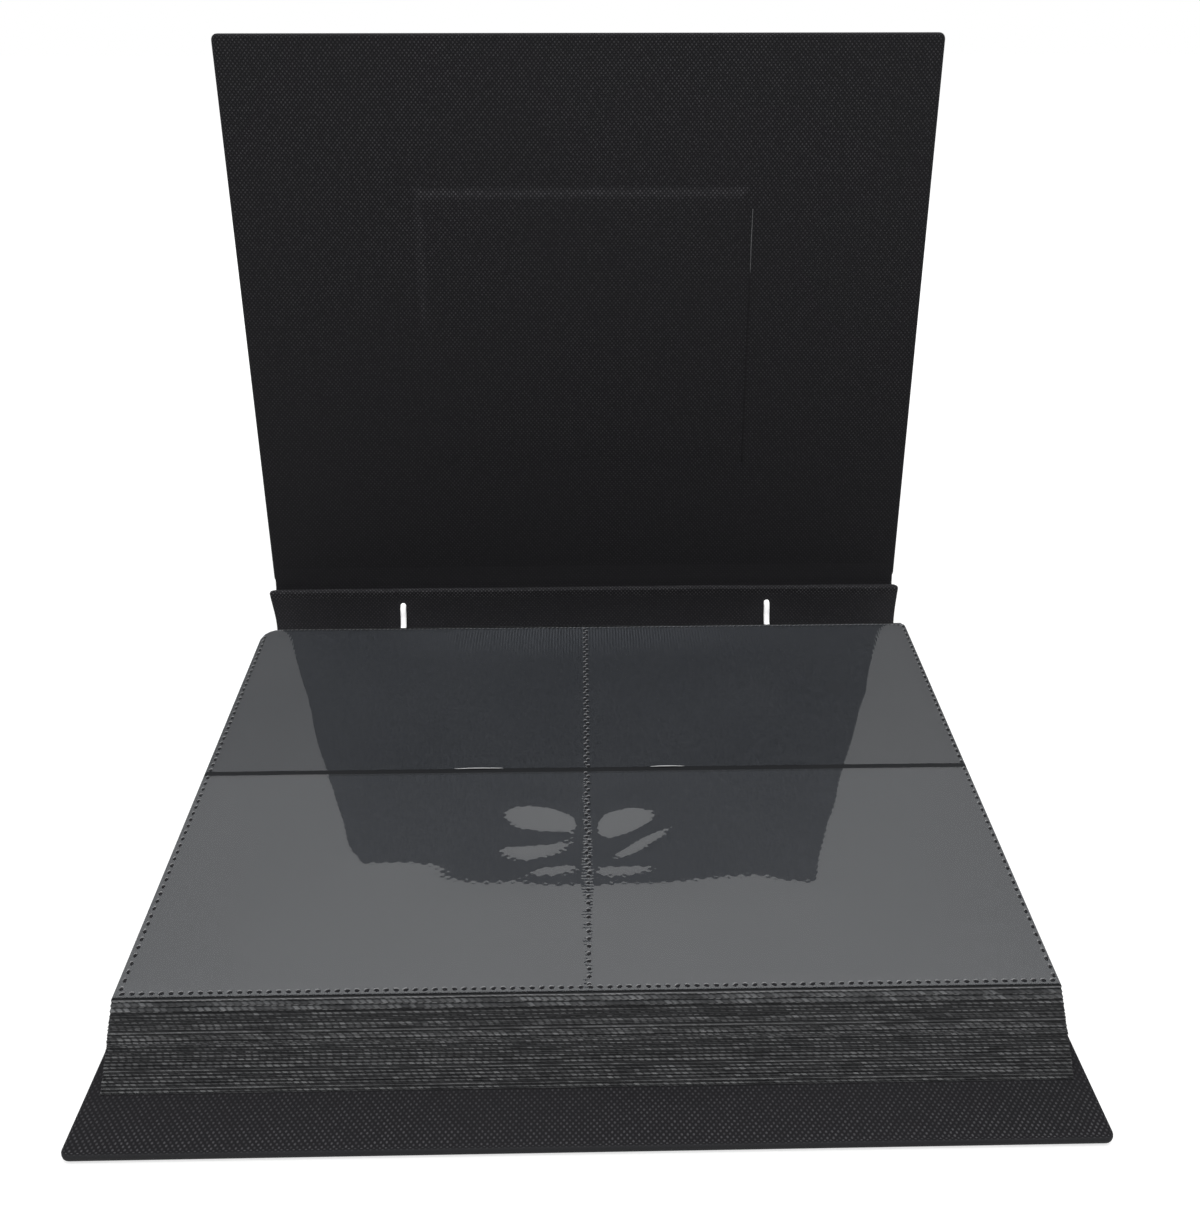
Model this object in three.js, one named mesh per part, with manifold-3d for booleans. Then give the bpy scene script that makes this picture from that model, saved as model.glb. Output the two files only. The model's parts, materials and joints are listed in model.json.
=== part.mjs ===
// Pocket photo album, standing open: millimetres, +Z up, +Y away from the reader.
// The origin is the centre of the back cover's underside.
import * as THREE from 'three';
import { mergeVertices } from 'three/addons/utils/BufferGeometryUtils.js';
import Module from 'manifold-3d';

const wasm = await Module();
wasm.setup();

// Leaf: two rows of two pockets
const pocketWidth = 160;
const pocketDepth = 104;
const edgeWeld = 2.5;
const middleWeld = 2;
const mouthGap = 2.2;
const bindingMargin = 26;
const sheetThick = 0.35;
const filmThick = 0.15;
const filmSlack = 0.1;
const leafRest = 0.3;

// Leaf pile: the leaves that turn lie on the ones shown in sections
const turningLeaves = 3;
const pileLeaves = 47;
const pileSections = 8;
const leafPitchFore = 0.362;
const leafPitchBack = 0.706;
const leafPitchBound = 0.43;
const sectionGap = 0.12;
const pileShear = 1.1;
const postShear = 0.74;

// Covers: grey board in book cloth
const boardThick = 2.4;
const clothThick = 0.5;
const liningThick = 0.4;
const pasteGap = 0.15;
const liningInset = 5;
const coverCorner = 3;
const sideOverhang = 5.5;
const frontOverhang = 21;
const rearOverhang = 5.3;
const coverLean = 10.9;

// Spine and the two cloth joints
const spineBoardThick = 2.2;
const spineBow = 4;
const spineClear = 5.6;
const spineLean = 20;
const spineSteps = 12;
const backJointWidth = 9;
const frontJointWidth = 11.5;
const frontJointDrop = 10.5;
const jointThick = 0.6;
const jointGap = 0.3;

// Photo window in the front cover
const windowWidth = 148;
const windowHeight = 98;
const backingWidth = 166;
const backingHeight = 131;
const backingThick = 0.6;
const windowFilmThick = 0.2;
const photoSlack = 0.3;
const slitWidth = 0.8;
const slitEndMargin = 4;

// Binding posts, their heads and the strip under the leaves
const postSpacing = 196;
const postRadius = 1.5;
const postClear = 0.35;
const postSides = 10;
const headRadius = 4.5;
const headThick = 1;
const headSides = 20;
const stripThick = 1.5;
const seatGap = 0.15;
const postShare = 0.62;
const postFootBack = 1.2;
const postFootRise = 1;
const postBend = [3.4, 3];
const postEntry = 5;

// The stacked margins round the posts
const marginFront = bindingMargin / 3;
const marginRear = bindingMargin / 2;
const marginFrontTop = 2.9;
const marginRearTop = 6.2;
const marginStart = [1.5, 0.4];

// Values that follow
const rad = THREE.MathUtils.degToRad;
const leafWidth = 2 * (pocketWidth + edgeWeld) + middleWeld;
const leafDepth = 2 * pocketDepth + mouthGap + edgeWeld;
const leafThick = sheetThick + 2 * (filmSlack + filmThick);
const leafPitch = leafThick + leafRest;
const coverWidth = leafWidth + 2 * sideOverhang;
const coverDepth = frontOverhang + leafDepth + bindingMargin + rearOverhang;
const coverThick = clothThick + boardThick + liningThick + 2 * pasteGap;
const yFront = -coverDepth / 2;
const yRear = coverDepth / 2;
const zPile = coverThick + seatGap;
const zBound = zPile + stripThick + seatGap;

// Colours: near-black cloth and sheets, clear film, white posts
const finish = (color, roughness, more = {}) => new THREE.MeshStandardMaterial({
  color,
  roughness,
  metalness: 0,
  ...more,
});
const cloth = finish(0x26252a, 0.85);
const greyBoard = finish(0x77736c, 0.95);
const blackSheet = finish(0x2e3033, 0.7);
const stackedLeaves = finish(0x3a3b3d, 0.6);
const clearFilm = finish(0xbfc4c8, 0.12, { transparent: true, opacity: 0.3 });
const whiteNylon = finish(0xf2f2f0, 0.4);

const solidOf = (geometry) => {
  const bare = geometry.clone();
  bare.deleteAttribute('normal');
  bare.deleteAttribute('uv');
  const merged = mergeVertices(bare, 1e-4);
  return new wasm.Manifold(
    new wasm.Mesh({
      numProp: 3,
      vertProperties: new Float32Array(merged.attributes.position.array),
      triVerts: new Uint32Array(merged.index.array),
    }),
  );
};

const geometryOf = (solid) => {
  const mesh = solid.getMesh();
  const indexed = new THREE.BufferGeometry();
  indexed.setAttribute('position', new THREE.BufferAttribute(mesh.vertProperties, 3));
  indexed.setIndex(new THREE.BufferAttribute(mesh.triVerts, 1));
  const geometry = indexed.toNonIndexed();
  geometry.computeVertexNormals();
  return geometry;
};

const cut = (geometry, ...tools) => {
  let solid = solidOf(geometry);
  for (const tool of tools) solid = solid.subtract(solidOf(tool));
  return geometryOf(solid);
};

// A (y, z) outline drawn out along X, centred on x = 0
const drawnAlongX = (outline, width) => {
  const shape = new THREE.Shape(outline.map(([y, z]) => new THREE.Vector2(y, z)));
  const geometry = new THREE.ExtrudeGeometry(shape, { depth: width, bevelEnabled: false });
  geometry.translate(0, 0, -width / 2);
  return geometry.applyMatrix4(
    new THREE.Matrix4().makeBasis(
      new THREE.Vector3(0, 1, 0),
      new THREE.Vector3(0, 0, 1),
      new THREE.Vector3(1, 0, 0),
    ),
  );
};

const box = (width, depth, height, x, y, z) => {
  const geometry = new THREE.BoxGeometry(width, depth, height);
  return geometry.translate(x, y, z);
};

// A plate with round corners, from z = low to low + thick, centred on (0, y)
const roundedPlate = (width, depth, thick, corner, y, low) => {
  const w = width / 2;
  const d = depth / 2;
  const shape = new THREE.Shape();
  shape.moveTo(corner - w, -d);
  shape.lineTo(w - corner, -d);
  shape.absarc(w - corner, corner - d, corner, -Math.PI / 2, 0);
  shape.absarc(w - corner, d - corner, corner, 0, Math.PI / 2);
  shape.absarc(corner - w, d - corner, corner, Math.PI / 2, Math.PI);
  shape.absarc(corner - w, corner - d, corner, Math.PI, 1.5 * Math.PI);
  const settings = { depth: thick, bevelEnabled: false, curveSegments: 5 };
  return new THREE.ExtrudeGeometry(shape, settings).translate(0, y, low);
};

// A round rod along a path of [x, y, z] points
const rod = (points, radius) => {
  const section = new THREE.Shape();
  section.absarc(0, 0, radius, 0, 2 * Math.PI);
  const corners = points.map((p) => new THREE.Vector3(...p));
  const path = new THREE.CatmullRomCurve3(corners, false, 'centripetal');
  return new THREE.ExtrudeGeometry(section, {
    steps: 3 * (points.length - 1),
    curveSegments: postSides / 2,
    extrudePath: path,
    bevelEnabled: false,
  });
};

const disc = (radius, thick) => {
  const geometry = new THREE.CylinderGeometry(radius, radius, thick, headSides);
  return geometry.rotateX(Math.PI / 2);
};

const album = new THREE.Group();

const place = (group, name, geometry, material) => {
  const mesh = new THREE.Mesh(geometry, material);
  mesh.name = name;
  group.add(mesh);
};

// A cover lies flat with its outer face down and its middle on (0, 0)
const boardCavity = () => roundedPlate(
  coverWidth - 2 * clothThick,
  coverDepth - 2 * clothThick,
  boardThick + 2 * pasteGap,
  coverCorner,
  0,
  clothThick,
);

const coverCloth = (...openings) => cut(
  roundedPlate(coverWidth, coverDepth, coverThick, coverCorner, 0, 0),
  boardCavity(),
  box(
    coverWidth - 2 * liningInset,
    coverDepth - 2 * liningInset,
    2 * liningThick + pasteGap,
    0,
    0,
    coverThick + pasteGap / 2,
  ),
  ...openings,
);

const coverBoard = () => roundedPlate(
  coverWidth - 2 * (clothThick + pasteGap),
  coverDepth - 2 * (clothThick + pasteGap),
  boardThick,
  coverCorner,
  0,
  clothThick + pasteGap,
);

const coverLining = () => box(
  coverWidth - 2 * (liningInset + pasteGap),
  coverDepth - 2 * (liningInset + pasteGap),
  liningThick,
  0,
  0,
  coverThick - liningThick / 2,
);

// Pile outline: t runs from 0 at the bottom leaf to 1 at the top of the sections
const foreHeight = pileLeaves * leafPitchFore;
const backHeight = pileLeaves * leafPitchBack;
const boundHeight = pileLeaves * leafPitchBound;
const pileRun = Math.sqrt(leafDepth ** 2 - (backHeight - foreHeight) ** 2);
const fore = (t) => [yFront + frontOverhang + pileShear * foreHeight * t, zPile + foreHeight * t];
const pocketBack = (t) => {
  const run = THREE.MathUtils.lerp(leafDepth, pileRun, t);
  return [fore(t)[0] + run, zPile + backHeight * t];
};
const postAt = (t) => [
  fore(0)[0] + leafDepth + bindingMargin / 2 + postShear * boundHeight * t,
  zBound + boundHeight * t,
];
const boundFront = (t) => {
  const [y, z] = postAt(t);
  return [y - THREE.MathUtils.lerp(marginFront, marginFrontTop, t), z];
};
const boundRear = (t) => {
  const [y, z] = postAt(t);
  return [y + THREE.MathUtils.lerp(marginRear, marginRearTop, t), z];
};

// Pivots of the case, in world (y, z)
const spineHeight = backHeight + turningLeaves * leafPitch + spineClear + coverThick;
const spinePivot = [yRear + backJointWidth, clothThick];
const spineUp = [Math.sin(rad(spineLean)), Math.cos(rad(spineLean))];
const coverPivot = [spinePivot[0] + spineHeight * spineUp[0], spinePivot[1] + spineHeight * spineUp[1]];

// Spine: bands of one arc, in a frame that stands on the pivot
const bowRadius = ((spineHeight / 2) ** 2 + spineBow ** 2) / (2 * spineBow);
const bowAngle = Math.asin(spineHeight / 2 / bowRadius);
const onBow = (radius, share) => [
  radius * Math.cos(share * bowAngle) - bowRadius * Math.cos(bowAngle),
  spineHeight / 2 + radius * Math.sin(share * bowAngle),
];
const bowBand = (outer, inner, reach) => {
  const shares = [];
  for (let i = 0; i <= spineSteps; i += 1) {
    shares.push(THREE.MathUtils.lerp(-reach, reach, i / spineSteps));
  }
  const there = shares.map((share) => onBow(outer, share));
  const back = shares.reverse().map((share) => onBow(inner, share));
  return [...there, ...back];
};
const spineThick = clothThick + spineBoardThick + liningThick + 2 * pasteGap;
const edgeShare = (length) => 1 - length / (bowRadius * bowAngle);
const boardOuter = bowRadius - clothThick - pasteGap;
const boardInner = boardOuter - spineBoardThick;
const spineEdge = edgeShare(jointGap);
const wrapEdge = edgeShare(jointGap + clothThick);
const boardEdge = edgeShare(jointGap + clothThick + pasteGap);

const spineToWorld = ([y, z]) => [
  spinePivot[0] + y * Math.cos(rad(spineLean)) + z * Math.sin(rad(spineLean)),
  spinePivot[1] - y * Math.sin(rad(spineLean)) + z * Math.cos(rad(spineLean)),
];
const postTop = (inward) => spineToWorld(onBow(boardOuter - headThick - 2 * seatGap - inward, postShare));

// The post's path: straight out of its base, up through the leaves, back to the spine and square into it
const postStart = [postAt(0)[0] - postFootBack, zPile + headThick + seatGap];
const postRoute = (x, extra = 0) => [
  postStart,
  [postStart[0], postStart[1] + postFootRise],
  postAt(0.35),
  postAt(0.75),
  [postAt(1)[0] + postBend[0], postAt(1)[1] + postBend[1]],
  postTop(postEntry),
  postTop(-extra),
].map(([y, z]) => [x, y, z]);
const sides = { left: -postSpacing / 2, right: postSpacing / 2 };
const postHoles = (extra = 0) => Object.values(sides).map((x) => {
  const route = postRoute(x, extra);
  return rod(route, postRadius + postClear);
});

const buildBackCover = () => {
  const group = new THREE.Group();
  place(group, 'back_cover_board', coverBoard(), greyBoard);
  place(group, 'back_cover_cloth', coverCloth(), cloth);
  place(group, 'back_cover_lining', coverLining(), cloth);
  const strip = box(
    coverWidth,
    backJointWidth - 2 * jointGap,
    jointThick,
    0,
    yRear + backJointWidth / 2,
    jointThick / 2,
  );
  place(group, 'back_joint_cloth', strip, cloth);
  album.add(group);
};

const buildBinding = () => {
  const group = new THREE.Group();
  const stripRun = boundRear(0)[0] - boundFront(0)[0];
  const stripY = (boundFront(0)[0] + boundRear(0)[0]) / 2;
  const seats = Object.values(sides).map((x) => disc(headRadius + postClear, 2 * (headThick + seatGap))
    .translate(x, postStart[0], zPile));
  const strip = cut(
    box(leafWidth, stripRun, stripThick, 0, stripY, zPile + stripThick / 2),
    ...seats,
    ...postHoles(),
  );
  place(group, 'back_binding_strip', strip, blackSheet);
  for (const [side, x] of Object.entries(sides)) {
    const base = disc(headRadius, headThick).translate(x, postStart[0], zPile + headThick / 2);
    place(group, 'post_base_' + side, base, whiteNylon);
    place(group, 'post_' + side, rod(postRoute(x), postRadius), whiteNylon);
  }
  album.add(group);
};

const buildPile = () => {
  const group = new THREE.Group();
  const half = sectionGap / 2;
  const lifted = (points, up) => points.map(([y, z]) => [y, z + up]);
  for (let i = 0; i < pileSections; i += 1) {
    const low = i / pileSections;
    const high = (i + 1) / pileSections;
    const under = lifted([fore(low), pocketBack(low), boundFront(low), boundRear(low)], half);
    const over = lifted([boundRear(high), boundFront(high), pocketBack(high), fore(high)], -half);
    const section = cut(drawnAlongX([...under, ...over], leafWidth), ...postHoles());
    place(group, 'leaf_section_' + (i + 1), section, stackedLeaves);
  }
  const marginThick = turningLeaves * leafPitchBound;
  const start = [pocketBack(1)[0] + marginStart[0], pocketBack(1)[1] + marginStart[1]];
  const run = [start, ...lifted([boundFront(1), boundRear(1)], half)];
  const back = [
    [boundRear(1)[0], boundRear(1)[1] + half + marginThick],
    [boundFront(1)[0] + marginThick, boundFront(1)[1] + half + marginThick],
    [start[0] + marginThick, start[1]],
  ];
  const margins = cut(drawnAlongX([...run, ...back], leafWidth), ...postHoles());
  place(group, 'turning_leaf_margins', margins, stackedLeaves);
  album.add(group);
};

const buildSpine = () => {
  const group = new THREE.Group();
  group.position.set(0, spinePivot[0], spinePivot[1]);
  group.rotation.x = -rad(spineLean);
  const intoSpine = (geometry) => geometry
    .translate(0, -spinePivot[0], -spinePivot[1])
    .rotateX(rad(spineLean));
  const holes = () => postHoles(3).map(intoSpine);
  const onFace = (geometry, x, radius) => {
    const [y, z] = onBow(radius, postShare);
    return geometry.rotateX(Math.PI / 2 + postShare * bowAngle).translate(x, y, z);
  };
  const seats = Object.values(sides).map((x) => onFace(
    disc(headRadius + postClear, 2 * (headThick + seatGap)),
    x,
    boardOuter,
  ));
  const boardSolid = cut(
    drawnAlongX(bowBand(boardOuter, boardInner, boardEdge), coverWidth - 2 * (clothThick + pasteGap)),
    ...seats,
    ...holes(),
  );
  place(group, 'spine_board', boardSolid, greyBoard);
  const wrap = cut(
    drawnAlongX(bowBand(bowRadius, bowRadius - spineThick, spineEdge), coverWidth),
    drawnAlongX(
      bowBand(bowRadius - clothThick, bowRadius - spineThick - 1, wrapEdge),
      coverWidth - 2 * clothThick,
    ),
  );
  place(group, 'spine_cloth', wrap, cloth);
  const lining = cut(
    drawnAlongX(
      bowBand(boardInner - pasteGap, boardInner - pasteGap - liningThick, boardEdge),
      coverWidth - 2 * (clothThick + pasteGap),
    ),
    ...holes(),
  );
  place(group, 'spine_lining', lining, cloth);
  for (const [side, x] of Object.entries(sides)) {
    const cap = onFace(disc(headRadius, headThick), x, boardOuter - headThick / 2);
    place(group, 'post_cap_' + side, cap, whiteNylon);
  }
  album.add(group);
};

const buildFrontCover = () => {
  const pivot = new THREE.Group();
  pivot.position.set(0, coverPivot[0], coverPivot[1]);
  const drop = new THREE.Group();
  drop.rotation.x = -rad(frontJointDrop);
  const run = frontJointWidth + jointThick / 2 - jointGap;
  const strip = box(coverWidth, run, jointThick, 0, jointGap + run / 2, 0);
  place(drop, 'front_joint_cloth', strip, cloth);
  pivot.add(drop);

  // The cover stands on its rear edge, inner face towards the reader
  const stand = new THREE.Group();
  stand.position.set(
    0,
    frontJointWidth * Math.cos(rad(frontJointDrop)),
    -frontJointWidth * Math.sin(rad(frontJointDrop)),
  );
  stand.rotation.x = rad(90 - coverLean);
  const panel = new THREE.Group();
  panel.position.set(0, coverDepth / 2 + jointThick / 2 + jointGap, -jointThick / 2);
  const rebateDepth = backingThick + windowFilmThick + photoSlack + pasteGap;
  const boardTop = clothThick + pasteGap + boardThick;
  const opening = box(windowWidth, windowHeight, 2 * coverThick, 0, 0, 0);
  const rebate = box(
    backingWidth + 2 * pasteGap,
    backingHeight + 2 * pasteGap,
    2 * rebateDepth,
    0,
    0,
    boardTop,
  );
  place(panel, 'front_cover_board', cut(coverBoard(), opening, rebate), greyBoard);
  place(panel, 'front_cover_cloth', coverCloth(opening), cloth);
  const slit = box(
    slitWidth,
    backingHeight - 2 * slitEndMargin,
    2 * coverThick,
    backingWidth / 2,
    0,
    coverThick,
  );
  place(panel, 'front_cover_lining', cut(coverLining(), slit), cloth);
  const filmLow = boardTop - rebateDepth + pasteGap;
  place(
    panel,
    'window_film',
    box(backingWidth, backingHeight, windowFilmThick, 0, 0, filmLow + windowFilmThick / 2),
    clearFilm,
  );
  const backing = box(backingWidth, backingHeight, backingThick, 0, 0, boardTop - backingThick / 2);
  place(panel, 'window_backing', backing, blackSheet);
  stand.add(panel);
  pivot.add(stand);
  album.add(pivot);
};

// A leaf lies in a frame on its hinge line, towards -Y
const buildLeaf = (name, hinge, tilt) => {
  const group = new THREE.Group();
  group.position.set(0, hinge[0], hinge[1]);
  group.rotation.x = tilt;
  const hingeGap = leafRest;
  const sheetLow = filmThick + filmSlack;
  const sheet = box(
    leafWidth,
    leafDepth - hingeGap,
    sheetThick,
    0,
    -(leafDepth + hingeGap) / 2,
    sheetLow + sheetThick / 2,
  );
  place(group, name + '_sheet', sheet, blackSheet);
  const rows = [
    ['back', -hingeGap, -pocketDepth],
    ['front', -(pocketDepth + mouthGap), -leafDepth],
  ];
  const faces = [
    ['', leafThick - filmThick / 2],
    ['under_', filmThick / 2],
  ];
  for (const [face, z] of faces) {
    for (const [row, from, to] of rows) {
      const film = box(leafWidth, from - to, filmThick, 0, (from + to) / 2, z);
      place(group, name + '_' + face + row + '_film', film, clearFilm);
    }
  }
  album.add(group);
};

const buildTurningLeaves = () => {
  const tilt = Math.asin((backHeight - foreHeight) / leafDepth);
  const names = ['third_leaf', 'second_leaf', 'top_leaf'];
  names.slice(-turningLeaves).forEach((name, i) => {
    const rise = leafRest + i * leafPitch;
    const [y, z] = pocketBack(1);
    buildLeaf(name, [y + pileShear * rise, z + rise], tilt);
  });
};

buildBackCover();
buildBinding();
buildPile();
buildSpine();
buildFrontCover();
buildTurningLeaves();

export default album;
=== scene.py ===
import json
import math

import bpy
import numpy as np
from mathutils import Matrix, Vector


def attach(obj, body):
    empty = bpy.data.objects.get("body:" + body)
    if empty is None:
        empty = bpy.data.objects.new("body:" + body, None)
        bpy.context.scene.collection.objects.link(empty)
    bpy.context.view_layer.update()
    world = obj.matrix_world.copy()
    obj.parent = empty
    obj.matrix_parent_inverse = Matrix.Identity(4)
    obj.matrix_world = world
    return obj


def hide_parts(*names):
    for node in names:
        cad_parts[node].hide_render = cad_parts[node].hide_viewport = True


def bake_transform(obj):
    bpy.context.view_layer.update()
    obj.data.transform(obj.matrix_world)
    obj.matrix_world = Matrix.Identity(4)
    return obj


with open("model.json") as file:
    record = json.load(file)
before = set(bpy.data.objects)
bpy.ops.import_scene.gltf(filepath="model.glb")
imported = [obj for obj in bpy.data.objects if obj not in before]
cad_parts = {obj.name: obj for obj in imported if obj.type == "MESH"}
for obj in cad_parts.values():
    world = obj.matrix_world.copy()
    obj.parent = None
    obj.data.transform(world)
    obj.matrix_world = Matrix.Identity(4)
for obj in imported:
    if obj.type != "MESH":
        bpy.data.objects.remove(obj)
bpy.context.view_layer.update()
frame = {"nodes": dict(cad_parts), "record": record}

mm = 0.001

# sizes of the album, in millimetres and degrees
case = {
    "width": 338.0,
    "depth": 265.0,
    "thick": 3.6,
    "corner": 3.0,
    "edgeRound": 1.45,
    "clothThick": 0.3,
    "lean": 10.9,           # of the standing front cover, to the back
    "frontJoint": 11.5,     # from the spine to the front cover
    "frontDrop": 10.5,      # how steeply that joint falls
    "backJoint": 9.0,
    "jointThick": 0.6,
    "jointGap": 0.3,
}
spine = {"height": 45.832, "bow": 4.0, "lean": 20.0, "thick": 3.4, "round": 1.5, "foot": 0.5}
leaf = {
    "width": 327.0,
    "depth": 212.7,
    "row": 102.6,           # depth of the back row of pockets
    "mouth": 2.4,           # slot between the two rows
    "sheet": 0.35,
    "slack": 0.1,           # between the sheet and its films
    "film": 0.15,
    "apart": 0.3,           # between two leaves
}
pile = {
    "sections": 8,
    "leaves": 47,
    "paper": 0.2,
    "pitch": (0.362, 0.706, 0.43),   # height per leaf at the fore-edge, the back and the posts
    "inset": 21.0,          # from the back cover's front edge to the pile's lowest leaf
    "slant": 1.1,           # how far the fore-edge leans back, per mm of height
    "lift": 0.15,           # gap under the lowest leaf
    "boundLift": 1.65,      # how much higher the bound edges start
}

leafTall = leaf["sheet"] + 2 * (leaf["slack"] + leaf["film"])
leafPitch = leafTall + leaf["apart"]
yFront = -case["depth"] / 2
yRear = case["depth"] / 2
spineFoot = (yRear + case["backJoint"], spine["foot"])
spineTop = (
    spineFoot[0] + spine["height"] * math.sin(math.radians(spine["lean"])),
    spineFoot[1] + spine["height"] * math.cos(math.radians(spine["lean"])),
)


def between(low, high, share):
    return low + (high - low) * share


def clamped(value):
    return max(0.0, min(1.0, value))


def giveAttribute(mesh, name, kind, values):
    layer = mesh.attributes.new(name, kind, "POINT")
    field = "vector" if kind == "FLOAT_VECTOR" else "value"
    layer.data.foreach_set(field, np.array(values, np.float32).ravel())


def meshObject(name, points, faces, uv=None, smooth=True, wear=None):
    mesh = bpy.data.meshes.new(name)
    mesh.from_pydata([tuple(float(c) * mm for c in p) for p in points], [], faces)
    mesh.validate()
    if uv is not None:
        layer = mesh.uv_layers.new(name="Flat")
        where = np.zeros(len(mesh.loops), np.int32)
        mesh.loops.foreach_get("vertex_index", where)
        layer.data.foreach_set("uv", np.array(uv, np.float32)[where].ravel())
    if wear is not None:
        giveAttribute(mesh, "wear", "FLOAT_VECTOR", wear)
    mesh.polygons.foreach_set("use_smooth", [smooth] * len(mesh.polygons))
    obj = bpy.data.objects.new(name, mesh)
    bpy.context.scene.collection.objects.link(obj)
    return obj


def gridFaces(rows, columns, closeColumns=False, flip=False):
    faces = []
    for i in range(rows - 1):
        for j in range(columns if closeColumns else columns - 1):
            a = i * columns + j
            b = i * columns + (j + 1) % columns
            c = (i + 1) * columns + (j + 1) % columns
            d = (i + 1) * columns + j
            faces.append((a, d, c, b) if flip else (a, b, c, d))
    return faces


def tubeFaces(rows, columns, start=0, flip=False):
    # rings joined one to the next, with a face over each end
    near = tuple(range(columns))
    far = tuple(range((rows - 1) * columns, rows * columns))
    ends = [near, far[::-1]] if flip else [near[::-1], far]
    faces = gridFaces(rows, columns, closeColumns=True, flip=flip) + ends
    return [tuple(start + i for i in face) for face in faces]


def settle(obj):
    bpy.context.view_layer.update()
    graph = bpy.context.evaluated_depsgraph_get()
    plain = bpy.data.meshes.new_from_object(obj.evaluated_get(graph), depsgraph=graph)
    old = obj.data
    obj.modifiers.clear()
    obj.data = plain
    bpy.data.meshes.remove(old)
    plain.name = obj.name
    return obj


def giveThickness(obj, thick, offset=-1.0, materials=()):
    for material in materials:
        obj.data.materials.append(material)
    mod = obj.modifiers.new("thickness", "SOLIDIFY")
    mod.thickness = thick * mm
    mod.offset = offset
    if len(materials) > 1:
        mod.material_offset = mod.material_offset_rim = 1
    settle(obj)
    obj.data.set_sharp_from_angle(angle=math.radians(40))
    return obj


def finish(obj, material, body=None, slot=None, replaced=()):
    if material is not None:
        obj.data.materials.clear()
        obj.data.materials.append(material)
    if body:
        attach(obj, body)
    if replaced:
        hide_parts(*replaced)
    return obj


class Nodes:
    def __init__(self, tree):
        self.tree = tree
        self.nodes = tree.nodes
        self.links = tree.links

    def give(self, socket, value):
        if isinstance(value, bpy.types.NodeSocket):
            self.links.new(value, socket)
        else:
            socket.default_value = value

    def add(self, kind, inputs=None, **settings):
        node = self.nodes.new(kind)
        for key, value in settings.items():
            setattr(node, key, value)
        for key, value in (inputs or {}).items():
            self.give(node.inputs[key], value)
        return node

    def math(self, operation, a, b=0.0, c=0.0, clamp=False):
        node = self.add("ShaderNodeMath", {0: a, 1: b, 2: c}, operation=operation, use_clamp=clamp)
        return node.outputs[0]

    def times(self, a, b, clamp=False):
        return self.math("MULTIPLY", a, b, clamp=clamp)

    def plus(self, a, b, clamp=False):
        return self.math("ADD", a, b, clamp=clamp)

    def minus(self, a, b):
        return self.math("SUBTRACT", a, b)

    def larger(self, a, b):
        return self.math("MAXIMUM", a, b)

    def size(self, a):
        return self.math("ABSOLUTE", a)

    def sine(self, a):
        return self.math("SINE", a)

    def vector(self, operation, a, b=(0, 0, 0), c=(0, 0, 0)):
        node = self.add("ShaderNodeVectorMath", {0: a, 1: b, 2: c}, operation=operation)
        return node.outputs["Value" if operation == "LENGTH" else "Vector"]

    def scaled(self, a, amount):
        return self.add("ShaderNodeVectorMath", {0: a, "Scale": amount}, operation="SCALE").outputs["Vector"]

    def split(self, vector):
        return self.add("ShaderNodeSeparateXYZ", {"Vector": vector}).outputs

    def join(self, **parts):
        return self.add("ShaderNodeCombineXYZ", parts).outputs[0]

    def ramp(self, value, low, high, toLow=0.0, toHigh=1.0, smooth=True):
        inputs = {"Value": value, "From Min": low, "From Max": high, "To Min": toLow, "To Max": toHigh}
        kind = "SMOOTHSTEP" if smooth else "LINEAR"
        return self.add("ShaderNodeMapRange", inputs, interpolation_type=kind).outputs["Result"]

    def noise(self, vector, scale, detail=3.0, roughness=0.5):
        inputs = {"Vector": vector, "Scale": scale, "Detail": detail, "Roughness": roughness}
        return self.add("ShaderNodeTexNoise", inputs).outputs["Fac"]

    def drawn(self, vector, scale, detail=2.0):
        # noise that is drawn out along one way
        placed = self.add("ShaderNodeMapping", {"Vector": vector, "Scale": scale}).outputs["Vector"]
        return self.noise(placed, 1.0, detail)

    def cloudy(self, noise, low=0.0, high=1.0):
        # the middle of a noise's range, spread from low to high
        return self.ramp(noise, 0.3, 0.7, low, high)

    def seen(self):
        light = self.add("ShaderNodeLightPath").outputs
        direct = self.larger(light["Is Camera Ray"], light["Is Glossy Ray"])
        return self.larger(direct, light["Is Transmission Ray"])


class Tree(Nodes):
    def __init__(self, name):
        self.material = bpy.data.materials.new(name)
        self.material.use_nodes = True
        super().__init__(self.material.node_tree)
        self.shader = self.nodes["Principled BSDF"]
        self.out = self.nodes["Material Output"]

    def flat(self):
        return self.add("ShaderNodeUVMap", uv_map="Flat").outputs["UV"]

    def place(self):
        return self.add("ShaderNodeTexCoord").outputs["Object"]

    def wear(self):
        return self.split(self.add("ShaderNodeAttribute", attribute_name="wear").outputs["Vector"])

    def luck(self, cell):
        return self.add("ShaderNodeTexWhiteNoise", {"Vector": cell}, noise_dimensions="2D").outputs["Value"]

    def mix(self, amount, a, b):
        return self.add("ShaderNodeMix", {0: amount, 6: a, 7: b}, data_type="RGBA").outputs[2]

    def bump(self, height, distance, strength=1.0, before=None):
        inputs = {"Height": height, "Distance": distance, "Strength": strength}
        if before is not None:
            inputs["Normal"] = before
        return self.add("ShaderNodeBump", inputs).outputs["Normal"]

    def layered(self, amount, under, over):
        return self.add("ShaderNodeMixShader", {0: amount, 1: under.outputs[0], 2: over.outputs[0]})

    def paint(self, colour, rough, normal, shine):
        parts = {"Base Color": colour, "Roughness": rough, "Normal": normal, "Specular IOR Level": shine}
        for name, value in parts.items():
            self.give(self.shader.inputs[name], value)
        return self.material

    def show(self, shader):
        self.links.new(shader.outputs[0], self.out.inputs["Surface"])
        return self.material


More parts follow.
